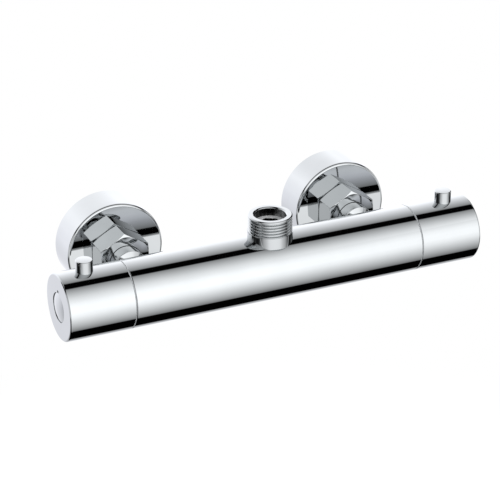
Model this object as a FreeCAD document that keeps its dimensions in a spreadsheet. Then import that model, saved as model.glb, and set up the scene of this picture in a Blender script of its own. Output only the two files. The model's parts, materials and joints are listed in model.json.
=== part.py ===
import FreeCAD, Part
import os
import Sketcher

Vector = FreeCAD.Vector
Rotation = FreeCAD.Rotation

# Driving sizes in millimetres and degrees: alias, value, what it measures.
SIZES = [
    ("bar_diameter", "40", "outside of the bar and of both handles"),
    ("inlet_spacing", "150", "between the two inlet axes"),
    ("inlet_to_seam", "16.5", "inlet axis to the end of the bar body"),
    ("eccentricity", "7", "bar axis above the wall pipes"),
    ("seam_gap", "0.6", "gap between bar body and handle"),
    ("seam_edge", "0.25", "bevel on both sides of that gap"),
    ("slip_ring", "0.5", "slip ring in that gap"),
    ("slip_ring_edge", "0.3", "slip ring below the bar's surface"),
    ("slip_ring_collar", "2", "slip ring's collar inside the handle"),
    ("slip_ring_wall", "1.4", "wall of that collar"),
    ("overrun", "1", "how far a cutting tool runs past the face it cuts"),
    ("run_gap", "0.05", "radial clearance of turning and sliding fits"),
    ("thread_gap", "0.05", "radial clearance of screwed fits"),
    ("seal_gap", "0.03", "clearance around a sealing ring in its groove"),
    ("handle_length", "39.4", "handle along the bar"),
    ("handle_wall", "2.2", "handle side wall"),
    ("handle_end", "3.5", "handle end wall"),
    ("handle_edge", "0.7", "bevel around the handle's end face"),
    ("hub_length", "14", "hub inside the handle, below the end wall"),
    ("hub_wall", "1.5", "hub wall around the cap's seat"),
    ("cap_diameter", "17.4", "end cap"),
    ("cap_thickness", "1.4", "end cap at its rim"),
    ("cap_recess", "0.4", "rim of the cap below the end face"),
    ("cap_dome", "1.2", "rise of the cap at its middle"),
    ("cap_gap", "0.15", "radial gap around the cap"),
    ("notch_width", "2", "prise notch beside the cap"),
    ("notch_reach", "1.8", "how far that notch leaves the cap"),
    ("notch_depth", "1.5", "depth of that notch"),
    ("lever_diameter", "10", "lever pin"),
    ("lever_height", "6.7", "lever pin above the bar"),
    ("lever_from_end", "16.2", "lever pin axis to the end face"),
    ("lever_edge", "0.4", "bevel at the lever pin's top"),
    ("lever_stud", "5", "threaded stud under the lever pin"),
    ("lever_seat_gap", "0.05", "joint between lever pin and handle"),
    ("screw_diameter", "4", "handle screw"),
    ("screw_head_diameter", "7", "handle screw's head"),
    ("screw_head_height", "3", "handle screw's head along its axis"),
    ("screw_head_room", "0.3", "space around and above that head"),
    ("screw_flats", "3", "hexagon socket in the screw"),
    ("screw_socket_depth", "2", "depth of that socket"),
    ("screw_reach", "8", "screw inside the spindle"),
    ("screw_hole_spare", "1.5", "tapped hole beyond the screw's end"),
    ("screw_seat", "2.5", "hub floor under the screw's head"),
    ("spindle_diameter", "9", "spindle in the cartridge neck"),
    ("spindle_rise", "3", "round spindle above the neck"),
    ("spline_flats", "7.6", "twelve-point drive of the spindle, across flats"),
    ("spindle_collar_diameter", "14", "collar that holds the spindle in"),
    ("spindle_collar", "3", "that collar along the axis"),
    ("spindle_seal_depth", "1.2", "sealing groove in the spindle"),
    ("spindle_seal_height", "8", "that groove above the bar body's end"),
    ("cartridge_bore", "24", "bore for either cartridge"),
    ("cartridge_gap", "0.1", "radial gap around either cartridge"),
    ("cartridge_flange", "2", "cartridge flange under its retaining nut"),
    ("cartridge_end_gap", "0.2", "between cartridge and the floor of its bore"),
    ("cartridge_floor", "2", "end wall of the thermostat cartridge"),
    ("shoulder_width", "3", "shoulder the flange rests on"),
    ("channel_width", "7", "ring channel around a cartridge"),
    ("channel_depth", "1.1", "depth of that channel"),
    ("channel_pitch", "16", "hot channel to cold channel"),
    ("seal_land", "3", "land that carries a sealing ring"),
    ("seal_width", "2.2", "width of a sealing groove"),
    ("seal_depth", "1.5", "depth of a sealing groove"),
    ("cartridge_tail", "7", "thermostat cartridge beyond its last seal"),
    ("port_diameter", "3.6", "water ports around a cartridge"),
    ("cavity_diameter", "18.6", "inside of either cartridge"),
    ("roof_rise", "1", "roof of that inside above the flange's seat"),
    ("neck_diameter", "17", "cartridge neck inside the handle"),
    ("neck_gap", "4", "cartridge neck to the handle's hub"),
    ("retainer_gap", "2.2", "retaining nut's corners to the handle"),
    ("retainer_head", "5", "retaining nut above the bar body's end"),
    ("stop_height", "5", "stop ring along the axis"),
    ("stop_wall", "3", "stop ring wall"),
    ("stop_gap", "2.2", "stop lug to the handle's side wall"),
    ("rib_gap", "0.8", "stop ring to the handle's rib"),
    ("rib_lift", "0.6", "rib above the retaining nut"),
    ("rib_angle", "16", "rib around the axis"),
    ("stop_slack", "1", "angle left at either stop"),
    ("hot_swing", "90", "temperature handle towards hot"),
    ("cold_swing", "90", "temperature handle towards cold"),
    ("flow_swing", "90", "flow handle from shut to open"),
    ("mixed_outlet", "12", "mixed water hole of the thermostat cartridge"),
    ("adjuster_screw", "7", "screw at the inner end of the thermostat spindle"),
    ("adjuster_screw_length", "5.5", "that screw below the collar"),
    ("adjuster_diameter", "13", "adjuster nut"),
    ("adjuster_drop", "2", "adjuster nut below the spindle's collar"),
    ("adjuster_length", "8.5", "adjuster nut along the axis"),
    ("adjuster_floor", "2", "closed end of the adjuster nut"),
    ("pushrod_diameter", "4", "push rod of the wax element"),
    ("pushrod_length", "2.5", "push rod between adjuster and wax element"),
    ("wax_diameter", "10", "wax element"),
    ("wax_length", "15", "wax element along the axis"),
    ("piston_wall", "1.25", "wall of the regulating piston"),
    ("piston_lap", "2", "how far the piston covers each row of ports"),
    ("piston_web", "3", "web that joins the piston to the wax element"),
    ("piston_hole", "2", "water holes through that web"),
    ("thermostat_wire", "1", "wire of the thermostat's return spring"),
    ("flow_depth", "13.5", "flow cartridge beyond its channel's middle"),
    ("drive_diameter", "8", "spindle below the flow cartridge's collar"),
    ("blade_width", "3.9", "drive blade of the flow spindle"),
    ("blade_length", "10", "drive blade across the disc"),
    ("blade_depth", "1.4", "drive blade into the disc"),
    ("blade_gap", "0.1", "clearance around the drive blade"),
    ("disc_thickness", "3.5", "each ceramic disc"),
    ("disc_core", "5", "middle of a disc between its two openings"),
    ("disc_window", "15", "diameter over a disc's openings"),
    ("disc_window_angle", "80", "each opening around the axis"),
    ("seat_seal_height", "3.2", "rubber seal under the fixed disc"),
    ("seat_seal_wall", "3", "wall of that seal"),
    ("chamber_side", "8", "bar wall around the mixed water chamber"),
    ("chamber_wall", "4", "wall between that chamber and either cartridge"),
    ("passage_diameter", "12", "mixed water hole in that wall"),
    ("cross_diameter", "3.6", "holes that join galleries and channels"),
    ("gallery_wall", "1.8", "metal on either side of a long gallery in the bar wall"),
    ("gallery_spare", "3", "gallery beyond its last cross hole"),
    ("floor_wall", "1.2", "metal left under the outlet's thread"),
    ("boss_diameter", "21", "inlet boss behind the bar"),
    ("boss_height", "3", "inlet boss beyond the bar's surface"),
    ("nipple_thread", "16.2", "inlet nipple's screwed end"),
    ("nipple_thread_length", "5", "that screwed end along its axis"),
    ("nipple_seal_depth", "1.3", "sealing groove in either nipple"),
    ("nipple_hexagon", "10", "hexagon hole through the inlet nipple"),
    ("inlet_stop_diameter", "19", "inlet nipple's collar on the boss"),
    ("inlet_stop_length", "1.5", "that collar along its axis"),
    ("inlet_neck_diameter", "13.6", "inlet nipple's neck behind that collar"),
    ("inlet_neck_length", "5.4", "that neck along its axis"),
    ("shank_diameter", "20", "inlet nipple between neck and union nut"),
    ("shank_bevel", "1.9", "bevel from neck to shank"),
    ("shank_length", "8.2", "that shank before the nut"),
    ("feed_diameter", "10", "water passage under the inlet nipple"),
    ("feed_spare", "1", "space under the inlet nipple's end"),
    ("nut_length", "15.5", "union nut"),
    ("nut_wall", "1.9", "union nut outside its thread"),
    ("nut_lip", "3.5", "lip that pulls on the inlet nipple"),
    ("nut_lip_gap", "0.2", "lip to shank"),
    ("nut_bevel", "1.3", "bevel at either end of the nut's corners"),
    ("nipple_collar", "3", "inlet nipple's collar inside the nut"),
    ("nipple_collar_gap", "0.5", "that collar to the nut's thread"),
    ("washer_thickness", "2.5", "filter washer"),
    ("washer_hole", "14", "opening in the filter washer"),
    ("union_thread", "26.2", "three-quarter pipe thread of the union"),
    ("union_head", "12", "that thread along its axis"),
    ("union_bore", "17", "bore in the union's wide end"),
    ("union_step", "7", "wide end beyond its thread"),
    ("tail_shoulder", "25", "shoulder on the union's tail"),
    ("tail_shoulder_length", "11", "that shoulder along the axis"),
    ("tail_bore", "14", "bore in the union's tail"),
    ("tail_thread", "20.8", "half-inch pipe thread of the tail"),
    ("tail_lead", "0.9", "bevel at the end of the tail"),
    ("flange_diameter", "60", "wall flange"),
    ("flange_depth", "22.5", "wall flange off the wall"),
    ("flange_wall", "1.2", "sheet of the wall flange"),
    ("flange_edge", "1", "bevel around the flange's front"),
    ("flange_gap", "0.3", "wall flange behind the union nut"),
    ("flange_hole_gap", "0.2", "flange hole around the union"),
    ("valve_diameter", "14", "check valve's seat in the inlet nipple"),
    ("valve_lift", "1", "check valve above the shank's bevel"),
    ("valve_lip", "1.5", "check valve's lip beyond its body"),
    ("valve_lip_height", "2", "that lip along its axis"),
    ("valve_wall", "1.35", "check valve body wall"),
    ("valve_guide", "3", "plate that guides the stem"),
    ("valve_guide_hole", "2.4", "water holes in that plate"),
    ("valve_guide_ring", "7.2", "circle of those holes"),
    ("valve_seat_hole", "7.6", "opening in the valve's seat"),
    ("valve_seat", "1.5", "seat along its axis"),
    ("valve_mouth", "10.4", "mouth of the valve above its seat"),
    ("poppet_diameter", "9.6", "poppet's head"),
    ("poppet_head", "2", "that head along its axis"),
    ("poppet_stem", "2.4", "poppet's stem"),
    ("poppet_stem_spare", "0.5", "stem beyond its guide"),
    ("valve_spring_room", "6", "length of the shut valve's spring"),
    ("valve_spring_diameter", "5.2", "that spring, middle of its wire"),
    ("valve_wire", "0.5", "wire of that spring"),
    ("outlet_boss", "2.8", "outlet boss above the bar"),
    ("outlet_boss_edge", "0.4", "outlet boss beyond the outlet's thread"),
    ("outlet_thread", "26.2", "three-quarter pipe thread of the outlet"),
    ("outlet_lead", "0.6", "bevel above the outlet's thread"),
    ("outlet_mouth", "19.4", "mouth of the outlet"),
    ("outlet_mouth_depth", "5.5", "depth of that mouth"),
    ("outlet_hexagon", "12", "hexagon hole through the outlet"),
    ("spigot_diameter", "20.6", "outlet nipple's screwed end in the bar"),
    ("spigot_spare", "2.7", "water space under that end"),
    ("pipe_thread_pitch", "1.814", "pitch of the pipe threads"),
    ("pipe_thread_depth", "1.16", "depth of the pipe threads"),
]

# Shares of one thread pitch, counts, and the share of the flats a nut's faces keep.
crest_share = 0.34
flank_share = 0.26
root_share = 1 - crest_share - 2 * flank_share
nut_face_share = 0.985
outlet_turns = 5
tail_turns = 8
thermostat_coils = 5
valve_coils = 5
port_count = 6
web_hole_count = 6
guide_hole_count = 4

doc = FreeCAD.newDocument("BarShowerMixer")
sheet = doc.addObject("Spreadsheet::Sheet", "Size")
for row, (alias, value, meaning) in enumerate(SIZES, start=1):
    sheet.set(f"A{row}", meaning)
    sheet.set(f"B{row}", value)
    sheet.setAlias(f"B{row}", alias)
doc.recompute()

nodes = []

AXES = {
    "X": (Rotation(Vector(0, 1, 0), 90), "x"),
    "Y": (Rotation(Vector(1, 0, 0), -90), "y"),
    "Z": (Rotation(), "z"),
}


def bind(piece, **values):
    """Bind properties of a piece to expressions over the sheet."""
    for name, value in values.items():
        piece.setExpression(name, value)
    return piece


def move(piece, rotation=Rotation(), **base):
    """Turn a piece and bind its place."""
    piece.Placement = FreeCAD.Placement(Vector(), rotation)
    for letter, value in base.items():
        piece.setExpression(f"Placement.Base.{letter}", value)
    return piece


def origin_plane(body, role):
    return next(plane for plane in body.Origin.OriginFeatures if plane.Role == role)


def new_sketch(body, role):
    """An empty sketch on one of the body's own planes."""
    sketch = body.newObject("Sketcher::SketchObject", f"{body.Name}_sketch")
    sketch.AttachmentSupport = [(origin_plane(body, role), "")]
    sketch.MapMode = "FlatFace"
    return sketch


def hold_point(sketch, geometry, point, across, up):
    """Hold a sketch point at two bound distances from the sketch's origin."""
    for kind, axis, value in (("DistanceX", -2, across), ("DistanceY", -1, up)):
        if value == "0":
            sketch.addConstraint(Sketcher.Constraint("PointOnObject", geometry, point, axis))
            continue
        start = float(sheet.evalExpression(value))
        number = sketch.addConstraint(
            Sketcher.Constraint(kind, -1, 1, geometry, point, start)
        )
        sketch.setExpression(f"Constraints[{number}]", value)


def turned(name, profile, along="Z"):
    """A body turned from (radius, height) corners around its own Z, or (length, radius) around X."""
    body = doc.addObject("PartDesign::Body", name)
    sketch = new_sketch(body, "XZ_Plane" if along == "Z" else "XY_Plane")
    spots = [Vector(*(float(sheet.evalExpression(value)) for value in spot), 0) for spot in profile]
    count = len(spots)
    for index, spot in enumerate(spots):
        sketch.addGeometry(Part.LineSegment(spot, spots[(index + 1) % count]), False)
    for index in range(count):
        sketch.addConstraint(
            Sketcher.Constraint("Coincident", index, 2, (index + 1) % count, 1)
        )
    for index, (across, up) in enumerate(profile):
        hold_point(sketch, index, 1, across, up)
    turning = body.newObject("PartDesign::Revolution", f"{name}_turning")
    turning.Profile = sketch
    turning.ReferenceAxis = (sketch, ["V_Axis" if along == "Z" else "H_Axis"])
    turning.Angle = 360
    return body


def coil(name, ring, wire, low, high, turns):
    """A helical spring between two heights, with its wire's middle on the stated ring."""
    body = doc.addObject("PartDesign::Body", name)
    sketch = new_sketch(body, "XZ_Plane")
    radius = float(sheet.evalExpression(f"{wire} / 2"))
    sketch.addGeometry(Part.Circle(Vector(), Vector(0, 0, 1), radius), False)
    number = sketch.addConstraint(Sketcher.Constraint("Radius", 0, radius))
    sketch.setExpression(f"Constraints[{number}]", f"{wire} / 2")
    hold_point(sketch, 0, 3, f"{ring} / 2", f"{low} + {wire} / 2")
    winding = body.newObject("PartDesign::AdditiveHelix", f"{name}_winding")
    winding.Profile = sketch
    winding.ReferenceAxis = (sketch, ["V_Axis"])
    winding.Mode = "height-turns-angle"
    winding.Turns = turns
    winding.setExpression("Height", f"{high} - {low} - {wire}")
    return body


def rod(name, radius, start, end, axis="Z", **offset):
    """A round tool or piece along one axis, between two places on it."""
    piece = doc.addObject("Part::Cylinder", name)
    rotation, along = AXES[axis]
    bind(piece, Radius=radius, Height=f"({end}) - ({start})")
    return move(piece, rotation, **{**offset, along: start})


def sector(name, radius, start, end, angle, first):
    """Part of a round bar along Z, from a first angle over a stated one."""
    piece = rod(name, radius, start, end)
    return bind(piece, Angle=angle, **{"Placement.Rotation.Angle": first})


def hexagon(name, flats, start, end, turn=0):
    """A hexagonal bar along Z between two heights."""
    piece = doc.addObject("Part::Prism", name)
    piece.Polygon = 6
    bind(piece, Circumradius=f"{flats} / sqrt(3)", Height=f"({end}) - ({start})")
    return move(piece, Rotation(Vector(0, 0, 1), turn), z=start)


def box(name, x, y, z):
    """A box from pairs of low and high places."""
    piece = doc.addObject("Part::Box", name)
    for side, letter, (low, high) in zip(("Length", "Width", "Height"), "xyz", (x, y, z)):
        bind(piece, **{side: f"({high}) - ({low})", f"Placement.Base.{letter}": low})
    return piece


def ring(name, inner, outer, height):
    """A round sealing ring between two radii, a little clear of both."""
    piece = doc.addObject("Part::Torus", f"{name}_section")
    section = f"({outer} - {inner}) / 2 - Size.seal_gap"
    bind(piece, Radius1=f"({outer} + {inner}) / 2", Radius2=section)
    return move(piece, z=height)


def joined(name, *pieces):
    whole = doc.addObject("Part::MultiFuse", name)
    whole.Shapes = list(pieces)
    whole.Refine = True
    return whole


def cut(name, base, *tools):
    """A piece with one or more tools taken out of it."""
    piece = doc.addObject("Part::Cut", name)
    piece.Base = base
    piece.Tool = tools[0] if len(tools) == 1 else joined(f"{name}_tools", *tools)
    piece.Refine = True
    return piece


def common(name, *pieces):
    shared = doc.addObject("Part::MultiCommon", name)
    shared.Shapes = list(pieces)
    shared.Refine = True
    return shared


def group(name, *pieces):
    """Separate pieces that are handed over as one node."""
    together = doc.addObject("Part::Compound", name)
    together.Links = list(pieces)
    return together


def spokes(name, radius, height, reach, count):
    """Radial tools around Z at one height."""
    tools = []
    for index in range(count):
        tool = rod(f"{name}_{index}", radius, "0", reach)
        around = Rotation(Vector(0, 0, 1), 360 * index / count)
        tools.append(move(tool, around.multiply(AXES["X"][0]), z=height))
    return tools


def circle_of_rods(name, radius, circle, start, end, count):
    """Axial tools on a circle around Z."""
    tools = []
    for index in range(count):
        angle = f"{index} * 360 deg / {count}"
        tools.append(
            rod(
                f"{name}_{index}", radius, start, end,
                x=f"{circle} * cos({angle})", y=f"{circle} * sin({angle})",
            )
        )
    return tools


def node(label, piece, spot):
    """Name a finished piece and put it in its place on the mixer."""
    rotation, base = spot
    piece.Label = label
    nodes.append(move(piece, rotation, **base))


def thread(crest, start, turns):
    """Corners of a ring-cut pipe thread, from its first crest to its last."""
    root = f"({crest} - Size.pipe_thread_depth)"
    corners = []
    for turn in range(turns):
        for radius, share in (
            (crest, 0),
            (crest, crest_share),
            (root, crest_share + flank_share),
            (root, crest_share + flank_share + root_share),
        ):
            corners.append((radius, f"({start} + {turn + share} * Size.pipe_thread_pitch)"))
    corners.append((crest, f"({start} + {turns} * Size.pipe_thread_pitch)"))
    corners.append((crest, thread_end(start, turns)))
    return corners


def thread_end(start, turns):
    """Far edge of a thread's last crest."""
    return f"({start} + {turns + crest_share} * Size.pipe_thread_pitch)"


def groove(radius, depth, middle, width):
    """Corners of a groove in a turned side, walked from its lower edge to its upper one."""
    floor = f"({radius} - {depth})"
    low = f"({middle} - {width} / 2)"
    high = f"({middle} + {width} / 2)"
    return [(radius, low), (floor, low), (floor, high), (radius, high)]


# Places shared by several pieces. Those of an end are heights along its axis,
# outwards from the end of the bar body. Those of an inlet run from the bar axis to the wall.
bar_r = "(Size.bar_diameter / 2)"
inlet_x = "(Size.inlet_spacing / 2)"
body_half = f"({inlet_x} + Size.inlet_to_seam)"

handle_tip = "(Size.seam_gap + Size.handle_length)"
handle_bore_r = f"({bar_r} - Size.handle_wall)"
handle_inside = f"({handle_tip} - Size.handle_end)"
cap_r = "(Size.cap_diameter / 2)"
cap_seat_r = f"({cap_r} + Size.cap_gap)"
cap_rim = f"({handle_tip} - Size.cap_recess)"
cap_floor = f"({cap_rim} - Size.cap_thickness)"
screw_seat = f"({cap_floor} - Size.screw_head_room - Size.screw_head_height)"
screw_r = "(Size.screw_diameter / 2)"
spindle_top = f"({screw_seat} - Size.screw_seat)"
hub_low = f"({handle_inside} - Size.hub_length)"
neck_top = f"({hub_low} - Size.neck_gap)"
lever_height = f"({handle_tip} - Size.lever_from_end)"

shoulder = "(Size.channel_width / 2 + Size.seal_land - Size.inlet_to_seam)"
flange_top = f"({shoulder} + Size.cartridge_flange)"
bore_r = "(Size.cartridge_bore / 2)"
shoulder_r = f"({bore_r} + Size.shoulder_width)"
cartridge_r = f"({bore_r} - Size.cartridge_gap)"
cavity_r = "(Size.cavity_diameter / 2)"
roof = f"({shoulder} + Size.roof_rise)"
spindle_r = "(Size.spindle_diameter / 2)"
spindle_bore_r = f"({spindle_r} + Size.run_gap)"
neck_r = "(Size.neck_diameter / 2)"
collar_top = f"({roof} - Size.run_gap)"
collar_low = f"({collar_top} - Size.spindle_collar)"
hot_channel = "(0 - Size.inlet_to_seam)"
cold_channel = f"({hot_channel} - Size.channel_pitch)"
channel_half = "(Size.channel_width / 2)"
upper_seal = f"({shoulder} - Size.seal_land / 2)"
middle_seal = f"({hot_channel} - Size.channel_pitch / 2)"
lower_seal = f"({cold_channel} - {channel_half} - Size.seal_land / 2)"
thermostat_low = f"({cold_channel} - {channel_half} - Size.seal_land - Size.cartridge_tail)"
thermostat_bore_floor = f"({thermostat_low} - Size.cartridge_end_gap)"
flow_low = f"({hot_channel} - Size.flow_depth)"
flow_bore_floor = f"({flow_low} - Size.cartridge_end_gap)"
flow_seal = f"({hot_channel} - {channel_half} - Size.seal_land / 2)"
ring_inner_r = f"({cartridge_r} - Size.seal_depth)"
stop_ring_r = f"({neck_r} + Size.run_gap + Size.stop_wall)"
stop_top = "(Size.retainer_head + Size.stop_height)"

boss_end = f"({bar_r} + Size.boss_height)"
stop_end = f"({boss_end} + Size.inlet_stop_length)"
neck_end = f"({stop_end} + Size.inlet_neck_length)"
shank_low = f"({neck_end} + Size.shank_bevel)"
nut_front = f"({shank_low} + Size.shank_length)"
nut_back = f"({nut_front} + Size.nut_length)"
lip_back = f"({nut_front} + Size.nut_lip)"
collar_back = f"({lip_back} + Size.nipple_collar)"
washer_back = f"({collar_back} + Size.washer_thickness)"
flange_front = f"({nut_back} + Size.flange_gap)"
wall = f"({flange_front} + Size.flange_depth)"
union_r = "(Size.union_thread / 2)"
nut_thread_r = f"({union_r} + Size.thread_gap)"
nut_flats = "(Size.union_thread + 2 * Size.nut_wall)"
nipple_collar_r = f"({nut_thread_r} - Size.nipple_collar_gap)"
stop_r = "(Size.inlet_stop_diameter / 2)"
inlet_neck_r = "(Size.inlet_neck_diameter / 2)"
shank_r = "(Size.shank_diameter / 2)"
nipple_r = "(Size.nipple_thread / 2)"
nipple_end = f"({boss_end} - Size.nipple_thread_length)"
inlet_floor = f"({nipple_end} - Size.feed_spare)"
valve_r = "(Size.valve_diameter / 2)"
valve_floor = f"({shank_low} + Size.valve_lift)"
valve_lip_low = f"({collar_back} - Size.valve_lip_height)"
valve_lip_r = f"({valve_r} + Size.valve_lip)"
guide_top = f"({valve_floor} + Size.valve_guide)"
poppet_low = f"({guide_top} + Size.valve_spring_room)"
valve_shut = f"({poppet_low} + Size.poppet_head)"

gallery_off = f"(({bore_r} + {bar_r}) / 2)"
gallery_r = f"(({bar_r} - {bore_r}) / 2 - Size.gallery_wall)"
outlet_r = "(Size.outlet_thread / 2)"
outlet_low = f"({bar_r} + Size.outlet_boss)"
outlet_floor = f"({bore_r} + Size.floor_wall)"
spigot_r = "(Size.spigot_diameter / 2)"
spigot_end = f"({outlet_floor} + Size.spigot_spare)"

# The origin lies on the wall, midway between the two wall pipes: X along the bar, Y into the wall, Z up.
BAR = {"y": f"0 - {wall}", "z": "Size.eccentricity"}
middle = (Rotation(), BAR)
left_end = (Rotation(Vector(0, 1, 0), -90), {"x": f"0 - {body_half}", **BAR})
right_end = (Rotation(Vector(1, 0, 1), 180), {"x": body_half, **BAR})
hot_inlet = (AXES["Y"][0], {"x": f"0 - {inlet_x}", **BAR})
cold_inlet = (AXES["Y"][0], {"x": inlet_x, **BAR})


def bar_body():
    """Bar with two cartridge bores, a chamber between them, two inlet bosses and an outlet boss."""
    left = f"(0 - {body_half})"
    edge_r = f"({bar_r} - Size.seam_edge)"
    chamber_r = f"({bar_r} - Size.chamber_side)"
    passage_r = "(Size.passage_diameter / 2)"
    left_shoulder = f"({left} - {shoulder})"
    left_floor = f"({left} - {thermostat_bore_floor})"
    left_chamber = f"({left_floor} + Size.chamber_wall)"
    right_shoulder = f"({body_half} + {shoulder})"
    right_floor = f"({body_half} + {flow_bore_floor})"
    right_chamber = f"({right_floor} - Size.chamber_wall)"
    outside = [
        (left, "0"),
        (left, edge_r),
        (f"{left} + Size.seam_edge", bar_r),
        (f"{body_half} - Size.seam_edge", bar_r),
        (body_half, edge_r),
        (body_half, "0"),
    ]
    inside = [
        (f"{left} - Size.overrun", "0"),
        (f"{left} - Size.overrun", shoulder_r),
        (left_shoulder, shoulder_r),
        (left_shoulder, bore_r),
        (left_floor, bore_r),
        (left_floor, passage_r),
        (left_chamber, passage_r),
        (left_chamber, chamber_r),
        (right_chamber, chamber_r),
        (right_chamber, passage_r),
        (right_floor, passage_r),
        (right_floor, bore_r),
        (right_shoulder, bore_r),
        (right_shoulder, shoulder_r),
        (f"{body_half} + Size.overrun", shoulder_r),
        (f"{body_half} + Size.overrun", "0"),
    ]
    pieces = [turned("bar_blank", outside, along="X")]
    tools = [turned("bar_bores", inside, along="X")]
    sides = {"hot": (f"0 - {inlet_x}", f"{bore_r} - Size.overrun"), "cold": (inlet_x, gallery_off)}
    for side, (place, feed_start) in sides.items():
        pieces.append(rod(f"{side}_boss", "Size.boss_diameter / 2", "0", boss_end, "Y", x=place))
        past_end = f"{boss_end} + Size.overrun"
        hole_r = f"{nipple_r} + Size.thread_gap"
        tools.append(rod(f"{side}_inlet_hole", hole_r, inlet_floor, past_end, "Y", x=place))
        past_floor = f"{inlet_floor} + Size.overrun"
        feed_r = "Size.feed_diameter / 2"
        tools.append(rod(f"{side}_feed", feed_r, feed_start, past_floor, "Y", x=place))
    pieces.append(rod("outlet_boss", f"{outlet_r} + Size.outlet_boss_edge", "0", outlet_low))
    outlet_hole_r = f"{spigot_r} + Size.thread_gap"
    tools.append(rod("outlet_hole", outlet_hole_r, outlet_floor, f"{outlet_low} + Size.overrun"))
    cold_cross = f"({left} - {cold_channel})"
    cross_r = "Size.cross_diameter / 2"
    cross_low = f"{bore_r} - Size.overrun"
    tools += [
        rod("cold_gallery", gallery_r, f"{cold_cross} - Size.gallery_spare", inlet_x, "X", y=gallery_off),
        rod("cold_cross_hole", cross_r, cross_low, gallery_off, "Y", x=cold_cross),
        rod("outlet_gallery", gallery_r, "0", f"{inlet_x} + Size.gallery_spare", "X", z=gallery_off),
        rod("outlet_cross_hole", cross_r, cross_low, gallery_off, x=inlet_x),
    ]
    return cut("bar_body", joined("bar_with_bosses", *pieces), *tools)


def outlet_nipple():
    """Threaded top outlet with an open mouth and a hexagon hole for its key."""
    top = f"({thread_end(outlet_low, outlet_turns)} + Size.outlet_lead)"
    mouth_r = "Size.outlet_mouth / 2"
    mouth_floor = f"{top} - Size.outlet_mouth_depth"
    seal = f"({outlet_low} - Size.seal_width)"
    blank = turned(
        "outlet_blank",
        [("0", spigot_end), (spigot_r, spigot_end)]
        + groove(spigot_r, "Size.nipple_seal_depth", seal, "Size.seal_width")
        + [(spigot_r, outlet_low)]
        + thread(outlet_r, outlet_low, outlet_turns)
        + [
            (f"{outlet_r} - Size.outlet_lead", top),
            (mouth_r, top),
            (mouth_r, mouth_floor),
            ("0", mouth_floor),
        ],
    )
    key = hexagon(
        "outlet_key_hole", "Size.outlet_hexagon", f"{spigot_end} - Size.overrun", top, turn=30
    )
    node("outlet_nipple", cut("outlet_nipple", blank, key), middle)
    floor_r = f"({spigot_r} - Size.nipple_seal_depth)"
    hole_r = f"({spigot_r} + Size.thread_gap)"
    node("outlet_oring", group("outlet_oring", ring("outlet_oring", floor_r, hole_r, seal)), middle)


def inlet(side, spot):
    """All pieces between the bar and the wall on one side."""
    seal = f"({boss_end} - Size.seal_width)"
    blank = turned(
        f"{side}_nipple_blank",
        [("0", nipple_end), (nipple_r, nipple_end)]
        + groove(nipple_r, "Size.nipple_seal_depth", seal, "Size.seal_width")
        + [
            (nipple_r, boss_end),
            (stop_r, boss_end),
            (stop_r, stop_end),
            (inlet_neck_r, stop_end),
            (inlet_neck_r, neck_end),
            (shank_r, shank_low),
            (shank_r, lip_back),
            (nipple_collar_r, lip_back),
            (nipple_collar_r, collar_back),
            (valve_lip_r, collar_back),
            (valve_lip_r, valve_lip_low),
            (valve_r, valve_lip_low),
            (valve_r, valve_floor),
            ("0", valve_floor),
        ],
    )
    below = f"{nipple_end} - Size.overrun"
    key = hexagon(f"{side}_key_hole", "Size.nipple_hexagon", below, f"{valve_floor} + Size.overrun")
    node(f"{side}_inlet_nipple", cut(f"{side}_inlet_nipple", blank, key), spot)
    floor_r = f"({nipple_r} - Size.nipple_seal_depth)"
    hole_r = f"({nipple_r} + Size.thread_gap)"
    oring = ring(f"{side}_inlet_oring", floor_r, hole_r, seal)
    node(f"{side}_inlet_oring", group(f"{side}_inlet_oring", oring), spot)
    union_nut(side, spot)
    washer = turned(
        f"{side}_filter_washer",
        [
            ("Size.washer_hole / 2", collar_back),
            (nipple_collar_r, collar_back),
            (nipple_collar_r, washer_back),
            ("Size.washer_hole / 2", washer_back),
        ],
    )
    node(f"{side}_filter_washer", washer, spot)
    eccentric_union(side, spot)
    wall_flange(side, spot)
    check_valve(side, spot)


def union_nut(side, spot):
    """Hexagon union nut with bevelled corners and a lip around the nipple."""
    lip_r = f"({shank_r} + Size.nut_lip_gap)"
    corner_r = f"({nut_flats} / sqrt(3))"
    face_r = f"({nut_flats} / 2 * {nut_face_share})"
    blank = turned(
        f"{side}_nut_blank",
        [
            (lip_r, nut_front),
            (face_r, nut_front),
            (corner_r, f"{nut_front} + Size.nut_bevel"),
            (corner_r, f"{nut_back} - Size.nut_bevel"),
            (face_r, nut_back),
            (nut_thread_r, nut_back),
            (nut_thread_r, lip_back),
            (lip_r, lip_back),
        ],
    )
    bar = hexagon(f"{side}_nut_bar", nut_flats, nut_front, nut_back, turn=30)
    node(f"{side}_union_nut", common(f"{side}_union_nut", blank, bar), spot)


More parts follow.
